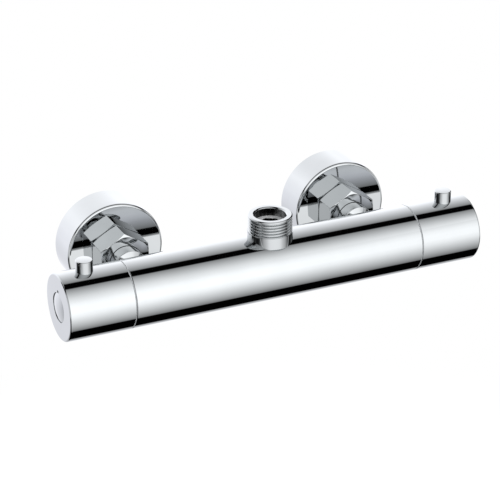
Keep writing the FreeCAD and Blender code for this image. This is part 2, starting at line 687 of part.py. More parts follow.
def eccentric_union(side, spot):
    """Offset union from the nut's thread to the threaded tail in the wall."""
    head_end = f"({washer_back} + Size.union_head + Size.union_step)"
    tail_start = f"({washer_back} + Size.union_head)"
    tail_crest = f"({tail_start} + Size.tail_shoulder_length)"
    tail_end = f"({thread_end(tail_crest, tail_turns)} + Size.tail_lead)"
    tail_r = "(Size.tail_thread / 2)"
    head = rod(f"{side}_union_head", union_r, washer_back, head_end)
    tail = turned(
        f"{side}_union_tail",
        [
            ("0", tail_start),
            ("Size.tail_shoulder / 2", tail_start),
            ("Size.tail_shoulder / 2", tail_crest),
        ]
        + thread(tail_r, tail_crest, tail_turns)
        + [(f"{tail_r} - Size.tail_lead", tail_end), ("0", tail_end)],
    )
    move(tail, y="Size.eccentricity")
    head_bore = rod(
        f"{side}_union_bore", "Size.union_bore / 2",
        f"{washer_back} - Size.overrun", f"{head_end} - Size.union_step / 2",
    )
    tail_bore = rod(
        f"{side}_tail_bore", "Size.tail_bore / 2",
        tail_start, f"{tail_end} + Size.overrun", y="Size.eccentricity",
    )
    solid = joined(f"{side}_union_solid", head, tail)
    union = cut(f"{side}_eccentric_union", solid, head_bore, tail_bore)
    node(f"{side}_eccentric_union", union, spot)


def wall_flange(side, spot):
    """Deep round flange that covers the union, open towards the wall."""
    rim_r = "(Size.flange_diameter / 2)"
    inner_r = f"({rim_r} - Size.flange_wall)"
    hole_r = f"({union_r} + Size.flange_hole_gap)"
    inside = f"({flange_front} + Size.flange_wall)"
    flange = turned(
        f"{side}_wall_flange",
        [
            (hole_r, flange_front),
            (f"{rim_r} - Size.flange_edge", flange_front),
            (rim_r, f"{flange_front} + Size.flange_edge"),
            (rim_r, wall),
            (inner_r, wall),
            (inner_r, inside),
            (hole_r, inside),
        ],
    )
    node(f"{side}_wall_flange", flange, spot)


def check_valve(side, spot):
    """Check valve inside the inlet nipple: body, sprung poppet and spring."""
    body_r = f"({valve_r} - Size.run_gap)"
    chamber_r = f"({valve_r} - Size.valve_wall)"
    seat_top = f"({valve_shut} + Size.valve_seat)"
    stem_r = "(Size.poppet_stem / 2)"
    blank = turned(
        f"{side}_valve_blank",
        [
            (f"{stem_r} + Size.run_gap", valve_floor),
            (body_r, valve_floor),
            (body_r, valve_lip_low),
            (f"{valve_lip_r} - Size.run_gap", valve_lip_low),
            (f"{valve_lip_r} - Size.run_gap", collar_back),
            ("Size.valve_mouth / 2", collar_back),
            ("Size.valve_mouth / 2", seat_top),
            ("Size.valve_seat_hole / 2", seat_top),
            ("Size.valve_seat_hole / 2", valve_shut),
            (chamber_r, valve_shut),
            (chamber_r, guide_top),
            (f"{stem_r} + Size.run_gap", guide_top),
        ],
    )
    holes = circle_of_rods(
        f"{side}_guide_hole", "Size.valve_guide_hole / 2", "Size.valve_guide_ring / 2",
        f"{valve_floor} - Size.overrun", f"{guide_top} + Size.overrun", guide_hole_count,
    )
    node(f"{side}_check_valve_body", cut(f"{side}_check_valve_body", blank, *holes), spot)
    stem_end = f"({valve_floor} - Size.poppet_stem_spare)"
    poppet = turned(
        f"{side}_check_poppet",
        [
            ("0", stem_end),
            (stem_r, stem_end),
            (stem_r, poppet_low),
            ("Size.poppet_diameter / 2", poppet_low),
            ("Size.poppet_diameter / 2", valve_shut),
            ("0", valve_shut),
        ],
    )
    node(f"{side}_check_poppet", poppet, spot)
    spring = coil(
        f"{side}_check_spring", "Size.valve_spring_diameter", "Size.valve_wire",
        guide_top, poppet_low, valve_coils,
    )
    node(f"{side}_check_spring", spring, spot)


def cartridge_outside(channels, seals, low):
    """Corners of a cartridge's outer side, from its lower end to the flange's seat."""
    cuts = [(place, "Size.channel_depth", "Size.channel_width") for place in channels]
    cuts += [(place, "Size.seal_depth", "Size.seal_width") for place in seals]
    cuts.sort(key=lambda entry: float(sheet.evalExpression(entry[0])))
    corners = [(cartridge_r, low)]
    for place, depth, width in cuts:
        corners += groove(cartridge_r, depth, place, width)
    return corners + [(cartridge_r, shoulder)]


def cartridge_top():
    """Corners of flange and neck, which both cartridges share, down to the cavity's roof."""
    flange_r = f"({shoulder_r} - Size.cartridge_gap)"
    return [
        (flange_r, shoulder),
        (flange_r, flange_top),
        (neck_r, flange_top),
        (neck_r, neck_top),
        (spindle_bore_r, neck_top),
        (spindle_bore_r, roof),
        (cavity_r, roof),
    ]


def seal_rings(name, places):
    """Sealing rings of one cartridge, as one node."""
    rings = [ring(f"{name}_{index}", ring_inner_r, bore_r, place) for index, place in enumerate(places)]
    return group(name, *rings)


def cartridge_ports(name, place):
    return spokes(name, "Size.port_diameter / 2", place, f"{cartridge_r} + Size.overrun", port_count)


def end_fittings(kind, forward, backward, spot):
    """Retaining nut and stop ring that hold a cartridge and limit its handle."""
    hole_r = f"({neck_r} + Size.run_gap)"
    thread_r = f"({shoulder_r} - Size.thread_gap)"
    screwed = rod(f"{kind}_retainer_thread", thread_r, flange_top, "0")
    flats = f"(({handle_bore_r} - Size.retainer_gap) * sqrt(3))"
    head = hexagon(f"{kind}_retainer_head", flats, "0", "Size.retainer_head")
    hole = rod(
        f"{kind}_retainer_hole", hole_r,
        f"{flange_top} - Size.overrun", "Size.retainer_head + Size.overrun",
    )
    nut = cut(f"{kind}_retaining_nut", joined(f"{kind}_retainer_solid", screwed, head), hole)
    node(f"{kind}_retaining_nut", nut, spot)
    first = f"180 + {forward} + Size.rib_angle / 2 + Size.stop_slack"
    span = f"360 - {forward} - {backward} - Size.rib_angle - 2 * Size.stop_slack"
    lug_r = f"{handle_bore_r} - Size.stop_gap"
    lug = sector(f"{kind}_stop_lug", lug_r, "Size.retainer_head", stop_top, span, first)
    band = rod(f"{kind}_stop_band", stop_ring_r, "Size.retainer_head", stop_top)
    bore = rod(
        f"{kind}_stop_bore", hole_r,
        "Size.retainer_head - Size.overrun", f"{stop_top} + Size.overrun",
    )
    stop = cut(f"{kind}_stop_ring", joined(f"{kind}_stop_solid", band, lug), bore)
    node(f"{kind}_stop_ring", stop, spot)


def spline(name, flats, start, end):
    """Two crossed hexagons: a twelve-point drive."""
    return [hexagon(f"{name}_{turn}", flats, start, end, turn) for turn in (0, 30)]


def spindle(kind, below):
    """Spindle with its drive, sealing groove and tapped end. The stated corners lie below its collar."""
    collar_r = "(Size.spindle_collar_diameter / 2)"
    round_top = f"({neck_top} + Size.spindle_rise)"
    stem = turned(
        f"{kind}_spindle_stem",
        below
        + [(collar_r, collar_low), (collar_r, collar_top), (spindle_r, collar_top)]
        + groove(spindle_r, "Size.spindle_seal_depth", "Size.spindle_seal_height", "Size.seal_width")
        + [(spindle_r, round_top), ("0", round_top)],
    )
    drive = spline(f"{kind}_drive", "Size.spline_flats", f"{round_top} - Size.overrun", spindle_top)
    tapped = rod(
        f"{kind}_tapped_hole", f"{screw_r} + Size.thread_gap",
        f"{spindle_top} - Size.screw_reach - Size.screw_hole_spare", f"{spindle_top} + Size.overrun",
    )
    return [stem, *drive], tapped


def spindle_seal(kind, spot):
    floor_r = f"({spindle_r} - Size.spindle_seal_depth)"
    seal = ring(f"{kind}_spindle_oring", floor_r, spindle_bore_r, "Size.spindle_seal_height")
    node(f"{kind}_spindle_oring", group(f"{kind}_spindle_oring", seal), spot)


def handle(kind, spot):
    """Cup-shaped handle with hub, stop rib, lever pin, end cap, screw and slip ring."""
    pocket_r = "(Size.screw_head_diameter / 2 + Size.screw_head_room)"
    hub_r = f"({cap_seat_r} + Size.hub_wall)"
    screw_hole_r = f"({screw_r} + Size.thread_gap)"
    cup = turned(
        f"{kind}_cup",
        [
            (handle_bore_r, "Size.seam_gap"),
            (f"{bar_r} - Size.seam_edge", "Size.seam_gap"),
            (bar_r, "Size.seam_gap + Size.seam_edge"),
            (bar_r, f"{handle_tip} - Size.handle_edge"),
            (f"{bar_r} - Size.handle_edge", handle_tip),
            (cap_seat_r, handle_tip),
            (cap_seat_r, cap_floor),
            (pocket_r, cap_floor),
            (pocket_r, screw_seat),
            (screw_hole_r, screw_seat),
            (screw_hole_r, hub_low),
            (hub_r, hub_low),
            (hub_r, handle_inside),
            (handle_bore_r, handle_inside),
        ],
    )
    rib_low = "Size.retainer_head + Size.rib_lift"
    rib_r = f"{handle_bore_r} + Size.handle_wall / 2"
    rib_first = "180 - Size.rib_angle / 2"
    rib_blank = sector(f"{kind}_rib_blank", rib_r, rib_low, handle_inside, "Size.rib_angle", rib_first)
    rib_clear = rod(f"{kind}_rib_clear", f"{stop_ring_r} + Size.rib_gap", "0", handle_tip)
    rib = cut(f"{kind}_rib", rib_blank, rib_clear)
    half_notch = "Size.notch_width / 2"
    tools = spline(
        f"{kind}_socket", "(Size.spline_flats + 2 * Size.run_gap)",
        f"{hub_low} - Size.overrun", spindle_top,
    ) + [
        rod(
            f"{kind}_stud_hole", "Size.lever_stud / 2 + Size.thread_gap",
            f"{handle_bore_r} - Size.overrun", f"{bar_r} + Size.overrun", "X", z=lever_height,
        ),
        box(
            f"{kind}_notch",
            (cap_r, f"{cap_seat_r} + Size.notch_reach"),
            (f"(0 - {half_notch})", half_notch),
            (f"({handle_tip} - Size.notch_depth)", f"{handle_tip} + Size.overrun"),
        ),
    ]
    node(f"{kind}_handle", cut(f"{kind}_handle", joined(f"{kind}_cup_and_rib", cup, rib), *tools), spot)
    lever_pin(kind, spot)
    dome = f"{cap_rim} + Size.cap_dome"
    dome_r = f"(({cap_r} * {cap_r} + Size.cap_dome * Size.cap_dome) / (2 * Size.cap_dome))"
    ball = doc.addObject("Part::Sphere", f"{kind}_cap_ball")
    bind(ball, Radius=dome_r)
    move(ball, z=f"{dome} - {dome_r}")
    cap = common(f"{kind}_end_cap", rod(f"{kind}_cap_disc", cap_r, cap_floor, dome), ball)
    node(f"{kind}_end_cap", cap, spot)
    handle_screw(kind, spot)
    slip_ring(kind, spot)


def slip_ring(kind, spot):
    """Ring that keeps handle and bar body apart, with a collar inside the handle."""
    inner_r = f"({handle_bore_r} - Size.slip_ring_wall)"
    outer_r = f"({bar_r} - Size.slip_ring_edge)"
    collar_r = f"({handle_bore_r} - Size.run_gap)"
    low = "(Size.seam_gap - Size.slip_ring)"
    collar_end = "(Size.seam_gap + Size.slip_ring_collar)"
    corners = [
        (inner_r, low),
        (outer_r, low),
        (outer_r, "Size.seam_gap"),
        (collar_r, "Size.seam_gap"),
        (collar_r, collar_end),
        (inner_r, collar_end),
    ]
    node(f"{kind}_slip_ring", turned(f"{kind}_slip_ring", corners), spot)


def lever_pin(kind, spot):
    """Short round lever that stands on the handle, with a stud through its wall."""
    top = f"({bar_r} + Size.lever_height)"
    lever_r = "(Size.lever_diameter / 2)"
    head = turned(
        f"{kind}_lever_head",
        [
            (handle_bore_r, "0"),
            (top, "0"),
            (top, f"{lever_r} - Size.lever_edge"),
            (f"{top} - Size.lever_edge", lever_r),
            (handle_bore_r, lever_r),
        ],
        along="X",
    )
    move(head, z=lever_height)
    saddle = rod(f"{kind}_lever_saddle", f"{bar_r} + Size.lever_seat_gap", "0", handle_tip)
    stud = rod(
        f"{kind}_lever_stud", "Size.lever_stud / 2",
        handle_bore_r, f"{bar_r} + Size.lever_height / 2", "X", z=lever_height,
    )
    pin = joined(f"{kind}_lever_pin", cut(f"{kind}_lever_seat", head, saddle), stud)
    node(f"{kind}_lever_pin", pin, spot)


def handle_screw(kind, spot):
    head_r = "(Size.screw_head_diameter / 2)"
    head_top = f"({screw_seat} + Size.screw_head_height)"
    tip = f"({spindle_top} - Size.screw_reach)"
    blank = turned(
        f"{kind}_screw_blank",
        [
            ("0", tip),
            (screw_r, tip),
            (screw_r, screw_seat),
            (head_r, screw_seat),
            (head_r, head_top),
            ("0", head_top),
        ],
    )
    socket_floor = f"{head_top} - Size.screw_socket_depth"
    socket = hexagon(f"{kind}_screw_socket", "Size.screw_flats", socket_floor, f"{head_top} + Size.overrun")
    node(f"{kind}_screw", cut(f"{kind}_screw", blank, socket), spot)


def thermostat(spot):
    """Thermostat cartridge: housing, spindle, adjuster, wax element, piston and spring."""
    floor = f"({thermostat_low} + Size.cartridge_floor)"
    seals = [upper_seal, middle_seal, lower_seal]
    blank = turned(
        "thermostat_blank",
        [("Size.mixed_outlet / 2", thermostat_low)]
        + cartridge_outside([hot_channel, cold_channel], seals, thermostat_low)
        + cartridge_top()
        + [(cavity_r, floor), ("Size.mixed_outlet / 2", floor)],
    )
    ports = cartridge_ports("hot_port", hot_channel) + cartridge_ports("cold_port", cold_channel)
    node("thermostat_housing", cut("thermostat_housing", blank, *ports), spot)
    node("thermostat_orings", seal_rings("thermostat_orings", seals), spot)

    screw_thread_r = "(Size.adjuster_screw / 2)"
    screw_tip = f"({collar_low} - Size.adjuster_screw_length)"
    below = [("0", screw_tip), (screw_thread_r, screw_tip), (screw_thread_r, collar_low)]
    pieces, tapped = spindle("temperature", below)
    stem = cut("thermostat_spindle", joined("temperature_spindle_solid", *pieces), tapped)
    node("thermostat_spindle", stem, spot)
    spindle_seal("temperature", spot)

    adjuster_r = "Size.adjuster_diameter / 2"
    adjuster_top = f"({collar_low} - Size.adjuster_drop)"
    adjuster_low = f"({adjuster_top} - Size.adjuster_length)"
    nut_r = f"({screw_thread_r} + Size.thread_gap)"
    nut_floor = f"{adjuster_low} + Size.adjuster_floor"
    adjuster = turned(
        "adjuster_nut",
        [
            ("0", adjuster_low),
            (adjuster_r, adjuster_low),
            (adjuster_r, adjuster_top),
            (nut_r, adjuster_top),
            (nut_r, nut_floor),
            ("0", nut_floor),
        ],
    )
    node("adjuster_nut", adjuster, spot)

    wax_top = f"({adjuster_low} - Size.pushrod_length)"
    wax_low = f"({wax_top} - Size.wax_length)"
    wax_r = "(Size.wax_diameter / 2)"
    wax = turned(
        "wax_element",
        [
            ("0", wax_low),
            (wax_r, wax_low),
            (wax_r, wax_top),
            ("Size.pushrod_diameter / 2", wax_top),
            ("Size.pushrod_diameter / 2", adjuster_low),
            ("0", adjuster_low),
        ],
    )
    node("wax_element", wax, spot)

    piston_r = f"({cavity_r} - Size.run_gap)"
    skirt_r = f"({piston_r} - Size.piston_wall)"
    piston_top = f"({hot_channel} - Size.port_diameter / 2 + Size.piston_lap)"
    piston_low = f"({cold_channel} + Size.port_diameter / 2 - Size.piston_lap)"
    web_low = f"({wax_top} - Size.piston_web)"
    seat_r = f"({wax_r} + Size.thread_gap)"
    sleeve = turned(
        "piston_sleeve",
        [
            (piston_r, piston_low),
            (piston_r, piston_top),
            (skirt_r, piston_top),
            (skirt_r, wax_top),
            (seat_r, wax_top),
            (seat_r, web_low),
            (skirt_r, web_low),
            (skirt_r, piston_low),
        ],
    )
    holes = circle_of_rods(
        "web_hole", "Size.piston_hole / 2", f"({skirt_r} + {wax_r}) / 2",
        f"{web_low} - Size.overrun", f"{wax_top} + Size.overrun", web_hole_count,
    )
    node("regulating_piston", cut("regulating_piston", sleeve, *holes), spot)
    spring_ring = f"({skirt_r} + {wax_r})"
    spring = coil("thermostat_spring", spring_ring, "Size.thermostat_wire", floor, web_low, thermostat_coils)
    node("thermostat_spring", spring, spot)


def disc_windows(name, start, end, turn):
    """Two facing openings of a ceramic disc, turned by an angle."""
    core = rod(f"{name}_core", "Size.disc_core / 2", start, end)
    wedges = []
    for side, facing in enumerate((0, 180)):
        first = f"{turn} + {facing} - Size.disc_window_angle / 2"
        wedge = sector(f"{name}_{side}", "Size.disc_window / 2", start, end, "Size.disc_window_angle", first)
        wedges.append(wedge)
    return cut(f"{name}_windows", joined(f"{name}_wedges", *wedges), core)


def flow_valve(spot):
    """Flow cartridge: housing, spindle, two ceramic discs and the seal under them."""
    seals = [upper_seal, flow_seal]
    blank = turned(
        "flow_blank",
        [(cavity_r, flow_low)]
        + cartridge_outside([hot_channel], seals, flow_low)
        + cartridge_top(),
    )
    ports = cartridge_ports("flow_port", hot_channel)
    node("flow_housing", cut("flow_housing", blank, *ports), spot)
    node("flow_orings", seal_rings("flow_orings", seals), spot)

    seal_top = f"({flow_bore_floor} + Size.seat_seal_height)"
    discs_meet = f"({seal_top} + Size.disc_thickness)"
    disc_top = f"({discs_meet} + Size.disc_thickness)"
    disc_r = f"({cavity_r} - Size.run_gap)"
    seal = turned(
        "flow_seat_seal",
        [
            (f"{disc_r} - Size.seat_seal_wall", flow_bore_floor),
            (disc_r, flow_bore_floor),
            (disc_r, seal_top),
            (f"{disc_r} - Size.seat_seal_wall", seal_top),
        ],
    )
    node("flow_seat_seal", seal, spot)
    fixed = rod("fixed_disc_blank", disc_r, seal_top, discs_meet)
    past = (f"{seal_top} - Size.overrun", f"{disc_top} + Size.overrun")
    fixed_disc = cut("fixed_ceramic_disc", fixed, disc_windows("fixed_disc", *past, 90))
    node("fixed_ceramic_disc", fixed_disc, spot)

    blade_floor = f"({disc_top} - Size.blade_depth)"
    half_blade = "Size.blade_length / 2"
    half_width = "Size.blade_width / 2"
    slot = box(
        "disc_slot",
        (f"(0 - {half_blade} - Size.blade_gap)", f"({half_blade} + Size.blade_gap)"),
        (f"(0 - {half_width} - Size.blade_gap)", f"({half_width} + Size.blade_gap)"),
        (f"({blade_floor} - Size.blade_gap)", f"({disc_top} + Size.overrun)"),
    )
    moving = rod("rotating_disc_blank", disc_r, discs_meet, disc_top)
    windows = disc_windows("rotating_disc", *past, 0)
    node("rotating_ceramic_disc", cut("rotating_ceramic_disc", moving, windows, slot), spot)

    drive_r = "(Size.drive_diameter / 2)"
    pieces, tapped = spindle("flow", [("0", disc_top), (drive_r, disc_top), (drive_r, collar_low)])
    blade = box(
        "drive_blade",
        (f"(0 - {half_blade})", half_blade),
        (f"(0 - {half_width})", half_width),
        (blade_floor, f"({disc_top} + Size.overrun)"),
    )
    stem = cut("flow_spindle", joined("flow_spindle_solid", *pieces, blade), tapped)
    node("flow_spindle", stem, spot)
    spindle_seal("flow", spot)


node("bar_body", bar_body(), middle)
outlet_nipple()
inlet("hot", hot_inlet)
inlet("cold", cold_inlet)
thermostat(left_end)
end_fittings("temperature", "Size.hot_swing", "Size.cold_swing", left_end)
handle("temperature", left_end)
flow_valve(right_end)
end_fittings("flow", "Size.flow_swing", "0", right_end)
handle("flow", right_end)
doc.recompute()

for piece in doc.Objects:
    if "Invalid" in piece.State or "Error" in piece.State:
        raise RuntimeError(f"{piece.Label} failed: {piece.State}")
for piece in nodes:
    if piece.Shape.isNull() or not piece.Shape.isValid() or not piece.Shape.Solids:
        raise RuntimeError(f"{piece.Label} has no valid shape")

os.makedirs("parts", exist_ok=True)
for piece in nodes:
    piece.Shape.exportStep(f"parts/{piece.Label}.step")
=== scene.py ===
import json
import math

import bpy
from bpy.props import FloatProperty, FloatVectorProperty, IntProperty, PointerProperty
from bpy.types import Operator, Panel, PropertyGroup
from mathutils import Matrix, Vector


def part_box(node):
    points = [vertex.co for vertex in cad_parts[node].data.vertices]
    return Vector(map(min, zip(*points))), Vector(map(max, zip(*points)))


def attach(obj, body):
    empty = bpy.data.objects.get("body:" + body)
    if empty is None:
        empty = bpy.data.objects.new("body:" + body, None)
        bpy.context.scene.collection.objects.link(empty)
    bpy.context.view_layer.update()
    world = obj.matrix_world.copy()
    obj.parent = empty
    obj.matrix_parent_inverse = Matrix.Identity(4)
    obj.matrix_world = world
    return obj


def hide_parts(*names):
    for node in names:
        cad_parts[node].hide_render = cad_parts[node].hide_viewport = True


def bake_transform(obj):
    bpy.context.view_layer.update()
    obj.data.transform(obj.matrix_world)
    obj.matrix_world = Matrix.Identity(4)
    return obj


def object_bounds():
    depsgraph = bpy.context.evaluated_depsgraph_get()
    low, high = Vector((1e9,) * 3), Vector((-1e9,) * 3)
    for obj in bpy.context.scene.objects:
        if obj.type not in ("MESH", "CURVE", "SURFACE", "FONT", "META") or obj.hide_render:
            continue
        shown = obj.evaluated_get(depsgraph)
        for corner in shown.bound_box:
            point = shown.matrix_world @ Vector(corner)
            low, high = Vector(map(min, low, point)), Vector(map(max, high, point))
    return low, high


bl_info = {
    "name": "Bar shower mixer",
    "version": (1, 0, 0),
    "blender": (4, 5, 0),
    "location": "View3D > Sidebar > Mixer",
    "description": "Dresses the bar shower mixer in polished chrome and sets it on a studio stage",
    "category": "Object",
}

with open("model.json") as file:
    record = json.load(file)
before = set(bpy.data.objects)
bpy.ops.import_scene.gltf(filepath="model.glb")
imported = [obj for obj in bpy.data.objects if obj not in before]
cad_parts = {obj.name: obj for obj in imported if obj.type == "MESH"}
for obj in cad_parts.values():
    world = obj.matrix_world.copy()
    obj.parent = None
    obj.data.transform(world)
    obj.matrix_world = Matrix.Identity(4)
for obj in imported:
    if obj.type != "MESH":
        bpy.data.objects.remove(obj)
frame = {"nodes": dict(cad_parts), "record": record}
cad_low, cad_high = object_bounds()

SIDES = {"hot": -1, "cold": 1}
ENDS = {"temperature": -1, "flow": 1}
ALONG_X = Vector((1, 0, 0))
ALONG_Y = Vector((0, 1, 0))
UP = Vector((0, 0, 1))

# The bar's axis and radius, read from the left handle, which is as wide as the bar.
handle_low, handle_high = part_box("temperature_handle")
BAR_AXIS = Vector((0, (handle_low.y + handle_high.y) / 2, (handle_low.z + handle_high.z) / 2))
BAR_RADIUS = (handle_high.y - handle_low.y) / 2
BAR_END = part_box("bar_body")[1].x
BAR_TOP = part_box("bar_body")[1].z - BAR_AXIS.z
BAR_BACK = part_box("bar_body")[1].y - BAR_AXIS.y
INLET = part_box("cold_wall_flange")[0].x / 2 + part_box("cold_wall_flange")[1].x / 2

# Fineness of the meshes.
MERGE_DISTANCE = 1e-6
SHARP_ANGLE = math.radians(30)
EDGE_SEGMENTS = 2
FACE_WEIGHT = 100
QUARTER_POINTS = 8
DOME_POINTS = 12


def length(name, description, default):
    """A length that a user may change, in metres."""
    return FloatProperty(
        name=name, description=description, default=default, min=0, precision=5, unit="LENGTH"
    )


class MixerSizes(PropertyGroup):
    """Sizes that the frame's boxes don't give."""

    steps: IntProperty(
        name="Round steps", description="Sides of a full turn", default=192, min=24, max=512
    )
    turn_steps: IntProperty(
        name="Spring steps", description="Steps of a spring's turn", default=40, min=12, max=128
    )
    wire_sides: IntProperty(
        name="Wire sides", description="Sides of a spring's wire", default=14, min=6, max=48
    )
    spring_turns: IntProperty(
        name="Spring turns", description="Turns of a spring", default=5, min=2, max=20
    )
    edge: length("Edge", "Rounding of an ordinary edge", 0.00015)
    seam_edge: length("Seam edge", "Bevel beside the gap between bar and handle", 0.00025)
    seat_radius: length("Seat radius", "Wide mouth of a cartridge bore", 0.015)
    seat_depth: length("Seat depth", "Depth of that mouth", 0.010)
    bore_radius: length("Bore radius", "Cartridge bore", 0.012)
    floor_gap: length("Floor gap", "Cartridge to the floor of its bore", 0.0002)
    floor_wall: length("Floor wall", "Wall between a cartridge and the chamber", 0.004)
    passage_radius: length("Passage radius", "Water hole through that wall", 0.006)
    collar_radius: length("Collar radius", "Collar under the outlet's thread", 0.0135)
    outlet_hole: length("Outlet hole", "Radius of the hole for the outlet nipple", 0.01035)
    outlet_floor: length("Outlet floor", "Floor of that hole above the bar's axis", 0.0132)
    boss_radius: length("Boss radius", "Inlet boss behind the bar", 0.0105)
    inlet_hole: length("Inlet hole", "Radius of the hole for an inlet nipple", 0.00815)
    inlet_floor: length("Inlet floor", "Floor of that hole behind the bar's axis", 0.017)
    overrun: length("Overrun", "How far a cutter runs past a face", 0.001)

    handle_wall: length("Handle wall", "Side wall of a handle", 0.0022)
    handle_end: length("Handle end", "End wall of a handle", 0.0035)
    handle_edge: length("Handle edge", "Rounded edge around a handle's end face", 0.0012)
    hub_radius: length("Hub radius", "Hub inside a handle", 0.010)
    hub_length: length("Hub length", "That hub below the end wall", 0.014)
    drive_radius: length("Drive radius", "Socket for the spindle", 0.00445)
    screw_hole: length("Screw hole", "Radius of the hole for the handle's screw", 0.00205)
    screw_pocket: length("Screw pocket", "Radius of the pocket for the screw's head", 0.0038)
    screw_seat: length("Screw seat", "Metal under the screw's head", 0.0025)
    screw_room: length("Screw room", "Pocket along the screw's head", 0.0033)
    cap_gap: length("Cap gap", "Gap around an end cap", 0.00015)
    cap_dome: length("Cap dome", "Rise of an end cap at its middle", 0.0012)
    notch_width: length("Notch width", "Prise notch beside the cap", 0.002)
    notch_reach: length("Notch reach", "How far that notch leaves the cap's seat", 0.0018)
    notch_depth: length("Notch depth", "Depth of that notch", 0.0015)
    lever_edge: length("Lever edge", "Bevel at a lever pin's top", 0.0004)
    joint_gap: length("Joint gap", "Gap around a fitted lever pin or outlet", 0.00005)

    lip_radius: length("Lip radius", "Hole in a union nut's lip", 0.0102)
    lip_length: length("Lip length", "That lip along its axis", 0.0035)
    nut_thread: length("Nut thread", "Radius of a union nut's thread", 0.01315)
    nut_bevel: length("Nut bevel", "Bevel at the nut's corners", 0.0013)
    nut_face: length("Nut face", "Radius of the nut's flat end", 0.014775)
    shank_radius: length("Shank radius", "Inlet nipple before the nut", 0.010)
    shank_length: length("Shank length", "That shank along its axis", 0.0082)
    shank_bevel: length("Shank bevel", "Bevel from neck to shank", 0.0019)
    neck_radius: length("Neck radius", "Inlet nipple's neck behind its stop", 0.0068)
    stop_radius: length("Stop radius", "Inlet nipple's collar on the boss", 0.0095)
    stop_length: length("Stop length", "That collar along its axis", 0.0015)
    nipple_radius: length("Nipple radius", "Inlet nipple's screwed end", 0.0081)
    nipple_bore: length("Nipple bore", "Water hole through that end", 0.005)
    nipple_collar: length("Nipple collar", "Collar inside the nut", 0.003)
    valve_radius: length("Valve radius", "Seat of the check valve", 0.007)
    valve_lip: length("Valve lip", "Radius of that valve's lip", 0.0085)
    valve_lip_height: length("Valve lip height", "That lip along its axis", 0.002)
    valve_lift: length("Valve lift", "Check valve above the shank's bevel", 0.001)
    flange_wall: length("Flange wall", "Sheet of a wall flange", 0.0012)
    flange_edge: length("Flange edge", "Rounded edge around a flange's front", 0.0016)
    flange_hole: length("Flange hole", "Radius of the hole around the union", 0.0133)

    thermostat_wire: length("Thermostat wire", "Wire of the thermostat's return spring", 0.001)
    valve_wire: length("Valve wire", "Wire of a check valve's spring", 0.0005)

    thread_pitch: length("Thread pitch", "Pitch of the pipe threads", 0.001814)
    thread_depth: length("Thread depth", "Depth of the pipe threads", 0.00116)
    mouth_radius: length("Mouth radius", "Mouth of the outlet", 0.0093)
    mouth_depth: length("Mouth depth", "Depth of that mouth", 0.0055)
    mouth_bevel: length("Mouth bevel", "Bevel between mouth and rim, across", 0.0008)
    mouth_bevel_depth: length("Mouth bevel depth", "That bevel downwards", 0.00066)
    key_flats: length("Key flats", "Hexagon hole for the outlet's key", 0.012)
    thread_edge: length("Thread edge", "Rounding of the outlet's thread", 0.00005)
    outlet_lead: length("Outlet lead", "Bevel above the outlet's thread", 0.0006)


def colour(name, description, default):
    """A colour that a user may change."""
    return FloatVectorProperty(
        name=name, description=description, default=default, subtype="COLOR", size=3, min=0, max=1
    )


class MixerFinish(PropertyGroup):
    """Colours of the finishes."""

    chrome: colour("Chrome", "Polished chrome", (0.51, 0.524, 0.53))
    chrome_haze: colour("Chrome haze", "Chrome with a duller polish", (0.49, 0.504, 0.51))
    # The bore's near-black is dull metal darkened further as painted shade inside the outlet's
    # mouth.
    bore: colour("Bore", "Dull metal inside the outlet", (0.02, 0.02, 0.02))
    bore_streak: colour("Bore streak", "Paler streaks in that metal", (0.1, 0.1, 0.1))
    # The bore's glint is a painted highlight on the mouth's wall, toward either side where it faces
    # along the bar.
    bore_painted_glint: colour("Bore glint", "That metal where it faces along the bar", (0.5, 0.505, 0.51))
    mouth_floor: colour("Mouth floor", "Matt floor of the outlet's mouth", (0.34, 0.345, 0.35))
    mouth_floor_dark: colour("Mouth floor, dark", "Duller spots of that floor", (0.24, 0.245, 0.25))
    brass: colour("Brass", "Machined brass", (0.72, 0.53, 0.25))
    brass_dark: colour("Dark brass", "Brass in its turning marks", (0.52, 0.36, 0.15))
    steel: colour("Steel", "Stainless steel", (0.62, 0.62, 0.63))
    rubber: colour("Rubber", "Black rubber", (0.02, 0.02, 0.021))
    plastic: colour("Plastic", "White moulded plastic", (0.84, 0.84, 0.81))
    # The slip ring's grey is darker than the white plastic of its slot: painted shade of the narrow
    # gap between bar and handle.
    slip_ring: colour("Slip ring", "Grey plastic between bar and handle", (0.26, 0.27, 0.28))
    ceramic: colour("Ceramic", "Polished ceramic", (0.90, 0.89, 0.85))


def level(name, description, default):
    """A brightness or power that a user may change."""
    return FloatProperty(name=name, description=description, default=default, min=0)


